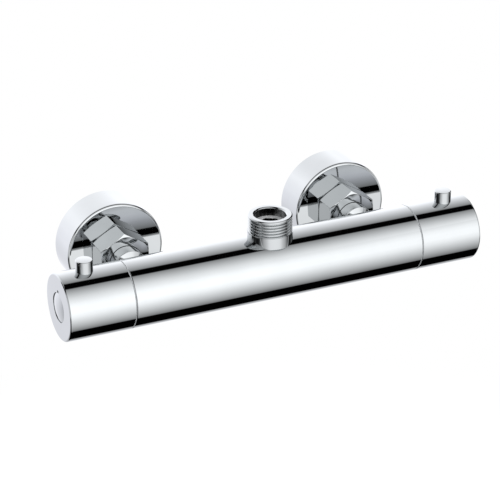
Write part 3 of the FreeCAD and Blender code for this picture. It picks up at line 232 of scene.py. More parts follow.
class MixerStage(PropertyGroup):
    """Camera, floor and light."""

    azimuth: FloatProperty(
        name="Azimuth", description="Camera's turn about the upright", subtype="ANGLE",
        default=math.radians(-24.83),
    )
    elevation: FloatProperty(
        name="Elevation", description="Camera above the horizon", subtype="ANGLE",
        default=math.radians(25.32),
    )
    distance: length("Distance", "Camera to the point it looks at", 1.1837)
    aim_right: FloatProperty(
        name="Aim right", description="That point right of the bar's middle, in the picture",
        default=-0.01164, unit="LENGTH", precision=5,
    )
    aim_up: FloatProperty(
        name="Aim up", description="That point above the bar's middle, in the picture",
        default=0.00881, unit="LENGTH", precision=5,
    )
    lens: FloatProperty(
        name="Lens", description="Focal length on a 36 mm sensor, in millimetres", default=145.16
    )
    floor_drop: length("Floor drop", "Floor below the mixer", 0.35)
    floor_size: length("Floor size", "Side of the floor", 24)
    floor: colour("Floor", "Pale floor", (0.9, 0.9, 0.9))
    shadow_reach: length("Shadow reach", "Part of the floor that keeps the shadow", 0.35)
    shadow_end: length("Shadow end", "Where the floor has faded into white", 0.6)
    tint: colour("Studio tint", "Faint tint of the studio in the chrome", (0.98, 0.988, 1.0))
    lavender: colour("Studio lavender", "Tint of the studio behind the mixer", (0.94, 0.943, 1.0))
    mirrored_level: level("Mirrored level", "Brightness of the studio in the chrome", 1.95)
    side_level: level("Side level", "Share of that brightness beyond the bar's ends", 0.6)
    plain_level: level("Plain level", "Brightness of the studio on dull pieces", 0.8)
    lamp_power: level("Lamp power", "Power of either soft lamp, in watts", 18)
    lamp_size: length("Lamp size", "Width of either lamp", 0.9)
    lamp_side: length("Lamp side", "Either lamp beside the mixer's middle", 0.9)
    lamp_front: length("Lamp front", "Either lamp in front of the wall", 0.9)
    lamp_height: length("Lamp height", "Either lamp above the inlets", 1.1)


def sizes():
    """The sizes as they are set now."""
    return bpy.context.scene.mixer_sizes


def finish():
    """The colours as they are set now."""
    return bpy.context.scene.mixer_finish


def deselect():
    """Leave edit mode and deselect everything."""
    if bpy.context.object is not None and bpy.context.object.mode != "OBJECT":
        bpy.ops.object.mode_set(mode="OBJECT")
    bpy.ops.object.select_all(action="DESELECT")


def named(name):
    """Name the piece that was just added and put its place in its mesh."""
    piece = bpy.context.object
    piece.name = name
    piece.data.name = name
    bpy.ops.object.transform_apply(location=True, rotation=True, scale=True)
    return piece


def choose(piece):
    """Make one piece the active and only selected one."""
    deselect()
    piece.select_set(True)
    bpy.context.view_layer.objects.active = piece


def turned(name, profile, place, along, out):
    """Draw (distance along, radius) corners as a chain of edges and spin it into a closed body."""
    spots = [place + along * distance + out * radius for distance, radius in profile]
    deselect()
    bpy.ops.mesh.primitive_plane_add(size=sizes().overrun, location=spots[0])
    piece = named(name)
    bpy.ops.object.mode_set(mode="EDIT")
    bpy.ops.mesh.merge(type="CENTER")
    for start, end in zip(spots, spots[1:]):
        bpy.ops.mesh.extrude_vertices_move(TRANSFORM_OT_translate={"value": end - start})
    bpy.ops.mesh.select_all(action="SELECT")
    bpy.ops.mesh.spin(
        steps=sizes().steps, angle=math.tau, use_auto_merge=True, center=place, axis=along
    )
    bpy.ops.mesh.select_all(action="SELECT")
    bpy.ops.mesh.remove_doubles(threshold=MERGE_DISTANCE)
    bpy.ops.mesh.normals_make_consistent(inside=False)
    bpy.ops.object.mode_set(mode="OBJECT")
    return piece


def quarter(along, radius, edge, first, last):
    """Corners of a rounded edge about a middle, between two angles off the outward radius."""
    corners = []
    for index in range(QUARTER_POINTS + 1):
        angle = first + (last - first) * index / QUARTER_POINTS
        corners.append((along + edge * math.sin(angle), radius + edge * math.cos(angle)))
    return corners


def round_bar(name, radius, low, high, place, along, out):
    """A plain round bar, used to join or cut."""
    return turned(name, [(low, 0), (low, radius), (high, radius), (high, 0)], place, along, out)


def hexagon(name, corner, depth, place, rotation=(0, 0, 0)):
    """A hexagon bar about a middle, used to cut."""
    deselect()
    bpy.ops.mesh.primitive_cylinder_add(
        vertices=6, radius=corner, depth=depth, location=place, rotation=rotation
    )
    return named(name)


def close_up():
    """Merge the active piece's doubled points and drop its faces that have no area."""
    bpy.ops.object.mode_set(mode="EDIT")
    bpy.ops.mesh.select_all(action="SELECT")
    bpy.ops.mesh.remove_doubles(threshold=MERGE_DISTANCE)
    bpy.ops.mesh.dissolve_degenerate(threshold=MERGE_DISTANCE)
    bpy.ops.object.mode_set(mode="OBJECT")


def combine(piece, tools, operation):
    """Join the tools to a piece, cut them out of it or keep what they share."""
    choose(piece)
    for tool in tools:
        modifier = piece.modifiers.new(operation.title(), "BOOLEAN")
        modifier.operation = operation
        modifier.solver = "EXACT"
        modifier.object = tool
        bpy.ops.object.modifier_apply(modifier=modifier.name)
    for tool in tools:
        bpy.data.objects.remove(tool)
    close_up()


def finish_edges(piece, width):
    """Round the edges, then shade the piece so that flat faces stay flat."""
    choose(piece)
    if width:
        modifier = piece.modifiers.new("Edges", "BEVEL")
        modifier.width = width
        modifier.segments = EDGE_SEGMENTS
        modifier.limit_method = "ANGLE"
        modifier.angle_limit = SHARP_ANGLE
        modifier.use_clamp_overlap = True
        bpy.ops.object.modifier_apply(modifier=modifier.name)
        close_up()
    bpy.ops.object.shade_smooth_by_angle(angle=SHARP_ANGLE)
    modifier = piece.modifiers.new("Flat faces", "WEIGHTED_NORMAL")
    modifier.keep_sharp = True
    modifier.weight = FACE_WEIGHT
    bpy.ops.object.modifier_apply(modifier=modifier.name)
    return piece


def wound(name, place, along, height, ring, wire):
    """Wind a round wire into a coil that starts at a place and runs along an axis."""
    deselect()
    bpy.ops.mesh.primitive_circle_add(
        vertices=sizes().wire_sides,
        radius=wire / 2,
        location=place,
        rotation=along.cross(UP).to_track_quat("Z", "Y").to_euler(),
    )
    piece = bpy.context.object
    piece.name = piece.data.name = name
    bpy.ops.object.transform_apply(location=False, rotation=True, scale=True)
    bpy.ops.object.mode_set(mode="EDIT")
    bpy.ops.mesh.select_all(action="SELECT")
    bpy.ops.transform.translate(value=(along * wire + UP * ring) / 2)
    bpy.ops.object.mode_set(mode="OBJECT")
    turns = sizes().spring_turns
    modifier = piece.modifiers.new("Winding", "SCREW")
    modifier.axis = "X" if along.x else "Y"
    modifier.iterations = turns
    modifier.screw_offset = (height - wire) / turns * (along.x + along.y)
    modifier.steps = modifier.render_steps = sizes().turn_steps
    bpy.ops.object.modifier_apply(modifier=modifier.name)
    bpy.ops.object.mode_set(mode="EDIT")
    bpy.ops.mesh.select_all(action="SELECT")
    bpy.ops.mesh.remove_doubles(threshold=MERGE_DISTANCE)
    bpy.ops.mesh.fill_holes(sides=0)
    bpy.ops.mesh.select_all(action="SELECT")
    bpy.ops.mesh.normals_make_consistent(inside=False)
    bpy.ops.object.mode_set(mode="OBJECT")
    bpy.ops.object.transform_apply(location=True, rotation=True, scale=True)
    return piece


def hand_over(piece, node, material):
    """Give a finished piece its material and let it stand for its solid."""
    piece.data.materials.clear()
    piece.data.materials.append(material)
    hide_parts(node)


class Nodes:
    """A node tree under construction."""

    def __init__(self, owner):
        owner.use_nodes = True
        self.tree = owner.node_tree
        self.tree.nodes.clear()

    def add(self, kind, **settings):
        """A new node with its settings."""
        node = self.tree.nodes.new(f"ShaderNode{kind}")
        for name, value in settings.items():
            setattr(node, name, value)
        return node

    def put(self, value, socket):
        """Link another node's output to a socket, or set a plain value there."""
        if isinstance(value, bpy.types.NodeSocket):
            self.tree.links.new(value, socket)
        else:
            socket.default_value = value

    def fill(self, node, **values):
        """Put values on sockets by their names, with underscores for blanks."""
        for name, value in values.items():
            self.put(value, node.inputs[name.replace("_", " ")])
        return node

    def reckon(self, operation, *values):
        """What a sum makes of one or two values."""
        node = self.add("Math", operation=operation)
        for value, socket in zip(values, node.inputs):
            self.put(value, socket)
        return node.outputs[0]

    def reach(self, vector):
        """Length of a vector."""
        node = self.add("VectorMath", operation="LENGTH")
        self.put(vector, node.inputs[0])
        return node.outputs["Value"]

    def split(self, vector):
        """The three parts of a vector."""
        return self.fill(self.add("SeparateXYZ"), Vector=vector).outputs

    def spread(self, value, low, high, start=0.3, end=0.7, **settings):
        """A number that follows a value between two limits."""
        node = self.add("MapRange", **settings)
        self.fill(node, Value=value, From_Min=start, From_Max=end, To_Min=low, To_Max=high)
        return node.outputs["Result"]

    def ramp(self, value, stops):
        """Colours over a value, through (place, colour) stops."""
        node = self.fill(self.add("ValToRGB"), Fac=value)
        elements = node.color_ramp.elements
        while len(elements) < len(stops):
            elements.new(0.5)
        for element, (place, shade) in zip(elements, stops):
            element.position = place
            element.color = (*shade, 1)
        return node.outputs["Color"]

    def mix(self, share, first, second):
        """One colour that passes into another."""
        node = self.fill(self.add("Mix", data_type="RGBA"), Factor=share, A=first, B=second)
        return node.outputs["Result"]

    def either(self, share, first, second):
        """One surface or light that passes into another."""
        node = self.add("MixShader")
        for value, socket in zip((share, first, second), node.inputs):
            self.put(value, socket)
        return node.outputs["Shader"]


class Shader(Nodes):
    """A material under construction, on the object's own coordinates."""

    def __init__(self, name):
        self.material = bpy.data.materials.get(name) or bpy.data.materials.new(name)
        super().__init__(self.material)
        self.shader = self.add("BsdfPrincipled")
        self.fill(self.add("OutputMaterial"), Surface=self.shader.outputs["BSDF"])
        self.place = self.add("TexCoord").outputs["Object"]

    def mapped(self, **settings):
        """The place in the object, moved or drawn out."""
        node = self.fill(self.add("Mapping"), Vector=self.place, **settings)
        return node.outputs["Vector"]

    def noise(self, scale, detail, stretch=None):
        """Noise of so many blotches per metre, drawn out along an axis where stated."""
        place = self.mapped(Scale=stretch) if stretch else self.place
        node = self.add("TexNoise")
        return self.fill(node, Vector=place, Scale=scale, Detail=detail).outputs["Fac"]

    def tones(self, value, low, high, start=0.35, end=0.65):
        """Two colours over part of a value's range."""
        return self.ramp(value, ((start, low), (end, high)))

    def bump(self, height, strength):
        """Fine relief of the surface."""
        node = self.fill(self.add("Bump"), Height=height, Strength=strength, Distance=BUMP_DEPTH)
        self.set(Normal=node.outputs["Normal"])

    def set(self, **values):
        """Put values on the surface's sockets."""
        self.fill(self.shader, **values)


# Blotches per metre in the finishes, their roughness in the dark and in the pale blotches,
# and the depth of their relief.
HAZE_SCALE = 45
POLISH_SCALE = 160
RIPPLE_SCALE = 90
STREAK_SCALE = 420
MATT_SCALE = 900
TURNING_SCALE = 900
STEEL_SCALE = 2600
RUBBER_SCALE = 1800
PLASTIC_SCALE = 1400
CERAMIC_SCALE = 700
POLISH_ROUGH = (0.012, 0.035)
BRASS_ROUGH = (0.42, 0.24)
STEEL_ROUGH = (0.38, 0.22)
BORE_ROUGH = 0.3
ROUGH_SPREAD = 0.08
STEEL_SHADE = 0.8
BUMP_DEPTH = 0.0001

# Where the mouth's wall turns pale towards either side, a painted highlight, as shares of its
# radius.
PAINTED_GLINT_START, PAINTED_GLINT_END = 0.6, 0.85


def plating(made):
    """Colour of polished chrome, with a trace of haze."""
    return made.tones(made.noise(HAZE_SCALE, 3), finish().chrome_haze, finish().chrome)


def polish(made):
    """Roughness of polished chrome."""
    return made.spread(made.noise(POLISH_SCALE, 4), *POLISH_ROUGH)


def chrome():
    """Polished chrome: a clear mirror with a trace of haze and of polishing ripple."""
    made = Shader("polished_chrome")
    made.set(Base_Color=plating(made), Roughness=polish(made), Metallic=1.0)
    made.bump(made.noise(RIPPLE_SCALE, 1), 0.03)
    return made.material


def outlet_chrome():
    """Chrome outside; on the wall of the mouth dull metal, near black as painted shade with a
    painted highlight toward either side; a pale, matt floor under it.
    """
    made = Shader("outlet_chrome")
    size, look = sizes(), finish()
    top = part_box("outlet_nipple")[1].z
    rim = top - size.mouth_bevel_depth
    floor = top - size.mouth_depth
    out = made.reach(made.mapped(Location=(0, -BAR_AXIS.y, 0), Scale=(1, 1, 0)))
    sideways, _, height = made.split(made.place)
    wide = size.mouth_radius + size.edge
    inside = made.spread(out, 1, 0, wide, wide + size.edge)
    under_rim = made.spread(height, 1, 0, rim - size.edge, rim)
    on_wall = made.spread(height, 0, 1, floor + size.thread_edge, floor + size.edge)
    on_floor = made.spread(height, 1, 0, floor + size.thread_edge, floor + size.edge)
    above_hole = made.spread(height, 0, 1, floor - 2 * size.edge, floor - size.edge)
    wall = made.reckon("MULTIPLY", made.reckon("MULTIPLY", inside, under_rim), on_wall)
    matt = made.reckon("MULTIPLY", made.reckon("MULTIPLY", inside, on_floor), above_hole)
    # Painted highlight: the mouth's wall turns pale toward either side.
    painted_glint = made.spread(
        made.reckon("ABSOLUTE", sideways), 0, 1,
        PAINTED_GLINT_START * size.mouth_radius, PAINTED_GLINT_END * size.mouth_radius,
    )
    streaks = made.noise(STREAK_SCALE, 3, stretch=(1, 1, 0.12))
    # The mouth's wall: near-black painted shade in its middle, a painted highlight toward either
    # side, both streaked.
    mouth_wall_painted_shade_and_glint = made.mix(
        painted_glint,
        made.tones(streaks, look.bore, look.bore_streak, 0.45, 0.7),
        made.tones(streaks, look.bore_streak, look.bore_painted_glint),
    )
    pale = made.tones(made.noise(MATT_SCALE, 3), look.mouth_floor_dark, look.mouth_floor)
    made.set(
        Base_Color=made.mix(matt, made.mix(wall, plating(made), mouth_wall_painted_shade_and_glint), pale),
        Metallic=made.spread(matt, 1, 0, 0, 1),
        Roughness=made.spread(wall, polish(made), BORE_ROUGH, 0, 1),
    )
    return made.material


def brass():
    """Machined brass with fine turning marks."""
    made = Shader("machined_brass")
    marks = made.noise(TURNING_SCALE, 3, stretch=(1, 0.15, 1))
    colours = made.tones(marks, finish().brass_dark, finish().brass)
    made.set(Base_Color=colours, Roughness=made.spread(marks, *BRASS_ROUGH), Metallic=1.0)
    made.bump(marks, 0.15)
    return made.material


def steel():
    """Drawn stainless steel."""
    made = Shader("spring_steel")
    grain = made.noise(STEEL_SCALE, 2)
    dark = [STEEL_SHADE * value for value in finish().steel]
    colours = made.tones(grain, dark, finish().steel)
    made.set(Base_Color=colours, Roughness=made.spread(grain, *STEEL_ROUGH), Metallic=1.0)
    return made.material


def dull(name, base, rough, scale, shade):
    """Moulded rubber, plastic or ceramic with a fine skin."""
    made = Shader(name)
    grain = made.noise(scale, 3)
    dark = [shade * value for value in base]
    roughness = made.spread(grain, rough + ROUGH_SPREAD, rough - ROUGH_SPREAD)
    made.set(Base_Color=made.tones(grain, dark, base), Roughness=roughness)
    made.bump(grain, 0.1)
    return made.material


def plastic(name, base):
    """Moulded plastic of a stated colour."""
    return dull(name, base, rough=0.42, scale=PLASTIC_SCALE, shade=0.82)


def slot_materials():
    """One material for each slot of the record."""
    look = finish()
    return {
        "chrome": chrome(),
        "brass": brass(),
        "spring_steel": steel(),
        "rubber": dull("black_rubber", look.rubber, rough=0.55, scale=RUBBER_SCALE, shade=0.6),
        "plastic": plastic("white_plastic", look.plastic),
        "ceramic": dull(
            "polished_ceramic", look.ceramic, rough=0.15, scale=CERAMIC_SCALE, shade=0.94
        ),
    }


class MIXER_OT_solids(Operator):
    """Give every solid that stays in view the material of its slot"""

    bl_idname = "mixer.solids"
    bl_label = "Finish the solids"

    def execute(self, context):
        materials = slot_materials()
        grey = plastic("seam_shade_grey_plastic", finish().slip_ring)
        for part in frame["record"]["subparts"]:
            mesh = frame["nodes"][part["node"]].data
            mesh.materials.clear()
            # Slip rings take the darker grey, painted shade of their gap, in place of their slot's
            # white plastic.
            ring = part["node"].endswith("slip_ring")
            mesh.materials.append(grey if ring else materials[part["material_slot"]])
        return {"FINISHED"}


def chrome_piece(piece, body, node):
    """Hand over a finished piece of polished chrome that rides on a body."""
    hand_over(piece, node, bpy.data.materials["polished_chrome"])
    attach(piece, body)


class MIXER_OT_bar(Operator):
    """Bar with its bores, inlet bosses and outlet collar"""

    bl_idname = "mixer.bar"
    bl_label = "Bar"

    def execute(self, context):
        size = sizes()
        left_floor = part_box("thermostat_housing")[1].x + size.floor_gap
        right_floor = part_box("flow_housing")[0].x - size.floor_gap
        left_chamber = left_floor + size.floor_wall
        right_chamber = right_floor - size.floor_wall
        seat = BAR_END - size.seat_depth
        edge = size.seam_edge
        near_outlet = size.collar_radius + size.floor_wall
        outside = [(-BAR_END, BAR_RADIUS - edge), (-BAR_END + edge, BAR_RADIUS)]
        # Corners on either side of the bosses and the collar keep the long faces clear of them.
        breaks = ((-INLET, size.boss_radius), (0, near_outlet), (INLET, size.boss_radius))
        for middle, reach in breaks:
            outside += [(middle - reach, BAR_RADIUS), (middle + reach, BAR_RADIUS)]
        outside += [(BAR_END - edge, BAR_RADIUS), (BAR_END, BAR_RADIUS - edge)]
        inside = [
            (BAR_END, size.seat_radius),
            (seat, size.seat_radius),
            (seat, size.bore_radius),
            (right_floor, size.bore_radius),
            (right_floor, size.passage_radius),
            (right_chamber, size.passage_radius),
            (right_chamber, size.bore_radius),
            (left_chamber, size.bore_radius),
            (left_chamber, size.passage_radius),
            (left_floor, size.passage_radius),
            (left_floor, size.bore_radius),
            (-seat, size.bore_radius),
            (-seat, size.seat_radius),
            (-BAR_END, size.seat_radius),
        ]
        bar = turned("bar_shell", outside + inside + outside[:1], BAR_AXIS, ALONG_X, UP)
        inner = (size.bore_radius + BAR_RADIUS) / 2
        bosses = [round_bar("collar", size.collar_radius, inner, BAR_TOP, BAR_AXIS, UP, ALONG_X)]
        holes = [
            round_bar(
                "outlet_hole", size.outlet_hole, size.outlet_floor, BAR_TOP + size.overrun,
                BAR_AXIS, UP, ALONG_X,
            )
        ]
        for sign in SIDES.values():
            place = BAR_AXIS + ALONG_X * INLET * sign
            bosses.append(round_bar("boss", size.boss_radius, inner, BAR_BACK, place, ALONG_Y, UP))
            holes.append(
                round_bar(
                    "inlet_hole", size.inlet_hole, size.inlet_floor, BAR_BACK + size.overrun,
                    place, ALONG_Y, UP,
                )
            )
        combine(bar, bosses, "UNION")
        combine(bar, holes, "DIFFERENCE")
        chrome_piece(finish_edges(bar, 0), "mixer", "bar_body")
        return {"FINISHED"}


class MIXER_OT_outlet(Operator):
    """Threaded outlet nipple with its mouth and key hole"""

    bl_idname = "mixer.outlet"
    bl_label = "Outlet"

    def execute(self, context):
        size = sizes()
        low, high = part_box("outlet_nipple")
        crest = (high.x - low.x) / 2
        root = crest - size.thread_depth
        bottom = low.z - BAR_AXIS.z
        top = high.z - BAR_AXIS.z
        spigot = size.outlet_hole - size.joint_gap
        mouth = top - size.mouth_depth
        profile = [(bottom, 0), (bottom, spigot), (BAR_TOP, spigot), (BAR_TOP, crest)]
        crest_share, flank_share, root_share = 0.22, 0.31, 0.16
        turns = round((top - size.outlet_lead - BAR_TOP) / size.thread_pitch - crest_share)
        for turn in range(turns):
            start = BAR_TOP + turn * size.thread_pitch
            for radius, share in (
                (crest, crest_share),
                (root, crest_share + flank_share),
                (root, crest_share + flank_share + root_share),
                (crest, 1),
            ):
                profile.append((start + share * size.thread_pitch, radius))
        profile += [
            (top - size.outlet_lead, crest),
            (top, crest - size.outlet_lead),
            (top, size.mouth_radius + size.mouth_bevel),
            (top - size.mouth_bevel_depth, size.mouth_radius),
            (mouth, size.mouth_radius),
            (mouth, 0),
        ]
        nipple = turned("outlet_fitting", profile, BAR_AXIS, UP, ALONG_X)
        depth = top - bottom + 2 * size.overrun
        middle = BAR_AXIS + UP * (top + bottom) / 2
        key = hexagon("key_hole", size.key_flats / math.sqrt(3), depth, middle)
        combine(nipple, [key], "DIFFERENCE")
        finish_edges(nipple, size.thread_edge)
        hand_over(nipple, "outlet_nipple", outlet_chrome())
        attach(nipple, "mixer")
        return {"FINISHED"}


class MIXER_OT_handles(Operator):
    """Cup-shaped handles with cap seat, hub and prise notch"""

    bl_idname = "mixer.handles"
    bl_label = "Handles"

    def execute(self, context):
        size = sizes()
        for kind, sign in ENDS.items():
            low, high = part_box(f"{kind}_handle")
            tip = max(abs(low.x), abs(high.x))
            seam = min(abs(low.x), abs(high.x))
            cap_low, cap_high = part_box(f"{kind}_end_cap")
            seat_r = (cap_high.z - cap_low.z) / 2 + size.cap_gap
            cap_floor = min(abs(cap_low.x), abs(cap_high.x))
            bore = BAR_RADIUS - size.handle_wall
            inside = tip - size.handle_end
            hub_low = inside - size.hub_length
            edge = size.handle_edge
            screw_seat = cap_floor - size.screw_room
            drive_top = screw_seat - size.screw_seat
            profile = [
                (seam, bore),
                (seam, BAR_RADIUS - size.seam_edge),
                (seam + size.seam_edge, BAR_RADIUS),
                *quarter(tip - edge, BAR_RADIUS - edge, edge, 0, math.pi / 2),
                (tip, seat_r),
                (cap_floor, seat_r),
                (cap_floor, size.screw_pocket),
                (screw_seat, size.screw_pocket),
                (screw_seat, size.screw_hole),
                (drive_top, size.screw_hole),
                (drive_top, size.drive_radius),
                (hub_low, size.drive_radius),
                (hub_low, size.hub_radius),
                (inside, size.hub_radius),
                (inside, bore),
                (seam, bore),
            ]
            grip = turned(f"{kind}_grip", profile, BAR_AXIS, ALONG_X * sign, UP)
            deselect()
            reach = size.notch_reach + size.overrun
            depth = size.notch_depth + size.overrun
            notch_x = sign * (tip + size.overrun - depth / 2)
            notch_z = seat_r - size.overrun + reach / 2
            bpy.ops.mesh.primitive_cube_add(
                size=1,
                scale=(depth, size.notch_width, reach),
                location=BAR_AXIS + ALONG_X * notch_x + UP * notch_z,
            )
            combine(grip, [named("notch")], "DIFFERENCE")
            chrome_piece(finish_edges(grip, size.edge), f"{kind}_control", f"{kind}_handle")
        return {"FINISHED"}


class MIXER_OT_levers(Operator):
    """Short round lever pins on the handles"""

    bl_idname = "mixer.levers"
    bl_label = "Lever pins"

    def execute(self, context):
        size = sizes()
        for kind in ENDS:
            low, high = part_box(f"{kind}_lever_pin")
            radius = (high.x - low.x) / 2
            place = Vector(((low.x + high.x) / 2, BAR_AXIS.y, BAR_AXIS.z))
            top = high.z - BAR_AXIS.z
            foot = BAR_RADIUS - size.handle_wall
            profile = [
                (foot, 0),
                (foot, radius),
                (top - size.lever_edge, radius),
                (top, radius - size.lever_edge),
                (top, 0),
            ]
            pin = turned(f"{kind}_lever", profile, place, UP, ALONG_X)
            reach = 2 * radius
            saddle = round_bar(
                "saddle", BAR_RADIUS + size.joint_gap, -reach, reach, place, ALONG_X, UP
            )
            combine(pin, [saddle], "DIFFERENCE")
            chrome_piece(finish_edges(pin, size.edge), f"{kind}_control", f"{kind}_lever_pin")
        return {"FINISHED"}


class MIXER_OT_caps(Operator):
    """Domed end caps in the handles"""

    bl_idname = "mixer.caps"
    bl_label = "End caps"

    def execute(self, context):
        size = sizes()
        for kind, sign in ENDS.items():
            low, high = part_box(f"{kind}_end_cap")
            radius = (high.z - low.z) / 2
            floor = min(abs(low.x), abs(high.x))
            crown = max(abs(low.x), abs(high.x))
            ball = (radius ** 2 + size.cap_dome ** 2) / (2 * size.cap_dome)
            profile = [(floor, 0), (floor, radius)]
            for index in range(DOME_POINTS + 1):
                out = radius * (1 - index / DOME_POINTS)
                profile.append((crown - ball + math.sqrt(ball ** 2 - out ** 2), out))
            cap = turned(f"{kind}_cap", profile, BAR_AXIS, ALONG_X * sign, UP)
            chrome_piece(finish_edges(cap, size.edge), f"{kind}_control", f"{kind}_end_cap")
        return {"FINISHED"}


class MIXER_OT_nuts(Operator):
    """Hexagon union nuts with bevelled corners"""

    bl_idname = "mixer.nuts"
    bl_label = "Union nuts"

    def execute(self, context):
        size = sizes()
        for side, sign in SIDES.items():
            low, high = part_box(f"{side}_union_nut")
            place = Vector((INLET * sign, 0, BAR_AXIS.z))
            front, back = low.y, high.y
            corner = (high.z - low.z) / 2
            wide = corner + size.overrun
            slope = (wide - size.nut_face) / (corner - size.nut_face) * size.nut_bevel
            profile = [
                (front, size.lip_radius),
                (front, size.nut_face),
                (front + slope, wide),
                (back - slope, wide),
                (back, size.nut_face),
                (back, size.nut_thread),
                (front + size.lip_length, size.nut_thread),
                (front + size.lip_length, size.lip_radius),
                (front, size.lip_radius),
            ]
            nut = turned(f"{side}_nut", profile, place, ALONG_Y, UP)
            depth = back - front + 2 * size.overrun
            middle = place + ALONG_Y * (front + back) / 2
            flats = hexagon("flats", corner, depth, middle, rotation=(math.pi / 2, 0, 0))
            combine(nut, [flats], "INTERSECT")
            chrome_piece(finish_edges(nut, size.edge), "mixer", f"{side}_union_nut")
        return {"FINISHED"}


class MIXER_OT_necks(Operator):
    """Inlet nipples between the bar and the union nuts"""

    bl_idname = "mixer.necks"
    bl_label = "Inlet nipples"

    def execute(self, context):
        size = sizes()
        for side, sign in SIDES.items():
            low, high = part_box(f"{side}_inlet_nipple")
            place = Vector((INLET * sign, 0, BAR_AXIS.z))
            boss = BAR_AXIS.y + BAR_BACK
            stop = boss + size.stop_length
            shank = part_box(f"{side}_union_nut")[0].y - size.shank_length
            collar_r = (high.x - low.x) / 2
            collar = high.y - size.nipple_collar
            lip = high.y - size.valve_lip_height
            seat = shank + size.valve_lift
            profile = [
                (low.y, size.nipple_bore),
                (low.y, size.nipple_radius),
                (boss, size.nipple_radius),
                (boss, size.stop_radius),
                (stop, size.stop_radius),
                (stop, size.neck_radius),
                (shank - size.shank_bevel, size.neck_radius),
                (shank, size.shank_radius),
                (collar, size.shank_radius),
                (collar, collar_r),
                (high.y, collar_r),
                (high.y, size.valve_lip),
                (lip, size.valve_lip),
                (lip, size.valve_radius),
                (seat, size.valve_radius),
                (seat, size.nipple_bore),
                (low.y, size.nipple_bore),
            ]
            neck = turned(f"{side}_neck", profile, place, ALONG_Y, UP)
            chrome_piece(finish_edges(neck, size.edge), "mixer", f"{side}_inlet_nipple")
        return {"FINISHED"}


class MIXER_OT_flanges(Operator):
    """Deep round wall flanges"""

    bl_idname = "mixer.flanges"
    bl_label = "Wall flanges"

    def execute(self, context):
        size = sizes()
        for side, sign in SIDES.items():
            low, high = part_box(f"{side}_wall_flange")
            place = Vector((INLET * sign, 0, BAR_AXIS.z))
            rim = (high.x - low.x) / 2
            inner = rim - size.flange_wall
            edge = size.flange_edge
            profile = [
                (low.y, size.flange_hole),
                *quarter(low.y + edge, rim - edge, edge, -math.pi / 2, 0),
                (high.y, rim),
                (high.y, inner),
                (low.y + size.flange_wall, inner),
                (low.y + size.flange_wall, size.flange_hole),
                (low.y, size.flange_hole),
            ]
            flange = turned(f"{side}_flange", profile, place, ALONG_Y, UP)
            chrome_piece(finish_edges(flange, size.edge), "mixer", f"{side}_wall_flange")
        return {"FINISHED"}


class MIXER_OT_springs(Operator):
    """Coiled springs, each wound from one end along its axis"""

    bl_idname = "mixer.springs"
    bl_label = "Springs"

    def execute(self, context):
        size = sizes()
        springs = [("thermostat_spring", "regulator", -ALONG_X, size.thermostat_wire)]
        for side in SIDES:
            node, body = f"{side}_check_spring", f"{side}_check_valve"
            springs.append((node, body, ALONG_Y, size.valve_wire))
        for node, body, along, wire in springs:
            low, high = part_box(node)
            height = abs((high - low).dot(along))
            fixed = (low + high - along * height) / 2
            coil = wound(f"{node}_coil", fixed, along, height, high.z - low.z - wire, wire)
            finish_edges(coil, 0)
            hand_over(coil, node, bpy.data.materials["spring_steel"])
            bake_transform(coil)
        return {"FINISHED"}


# Brightness of the dark strips in the studio.
STRIP = 0.0005

# The studio around the bar: degrees about the bar, from level in front over the top,
# brightness there, and the share of lavender in its tint.
STUDIO = (
    (-180, 0.92, 0.8),
    (-165, 0.80, 1),
    (-150, 0.61, 1),
    (-114, 0.26, 0),
    (-112, STRIP, 0),
    (-69, STRIP, 0),
    (-67, 0.185, 0),
    (-35, 0.62, 0),
    (-14, 0.925, 0),
    (0, 1.05, 0),
    (16, 1.05, 0),
    (28, 0.975, 0),
    (48, 0.725, 0),
    (80, 0.24, 0),
    (82, STRIP, 0),
    (101, STRIP, 0),
    (104, 0.243, 0),
    (150, 0.84, 0.4),
    (154, 0.89, 0.4),
    (160, 0.945, 0.4),
    (180, 0.92, 0.8),
)

# Brightness of that studio to either side: how far a direction runs along the bar, as a share,
# below zero behind the bar and above zero before it.
STUDIO_SIDES = (
    (-1, 1.0),
    (-0.95, 0.9),
    (-0.91, 0.02),
    (-0.74, 0.01),
    (-0.69, 0.8),
    (-0.46, 0.98),
    (0, 1.0),
    (0.36, 0.995),
    (0.47, 0.93),
    (0.58, 0.79),
    (0.75, 0.64),
    (0.82, 0.45),
    (0.87, 0.2),
    (0.9, 0.02),
    (0.91, 0.02),
    (0.95, 0.9),
    (1, 1.0),
)

# How bright the studio's sides stay at least, over the height of a direction, as a share.
STUDIO_CLEAR = (
    (-1, 0),
    (-0.42, 0),
    (-0.34, 0.65),
    (-0.18, 0.65),
    (-0.1, 0),
    (0.50, 0),
    (0.6, 1),
    (1, 1),
)

# Shares along the bar between which the strips pass into the plain sides.
SIDE_START, SIDE_END = 0.82, 0.93
WHITE = (1, 1, 1, 1)


def signed_greys(made, value, stops):
    """Greys over a value from minus one to one, through (place, grey) stops."""
    share = made.spread(value, 0, 1, -1, 1)
    return made.ramp(share, [((place + 1) / 2, [grey] * 3) for place, grey in stops])


def background(made, shade, strength):
    """Light from all around."""
    node = made.fill(made.add("Background"), Color=shade, Strength=strength)
    return node.outputs["Background"]


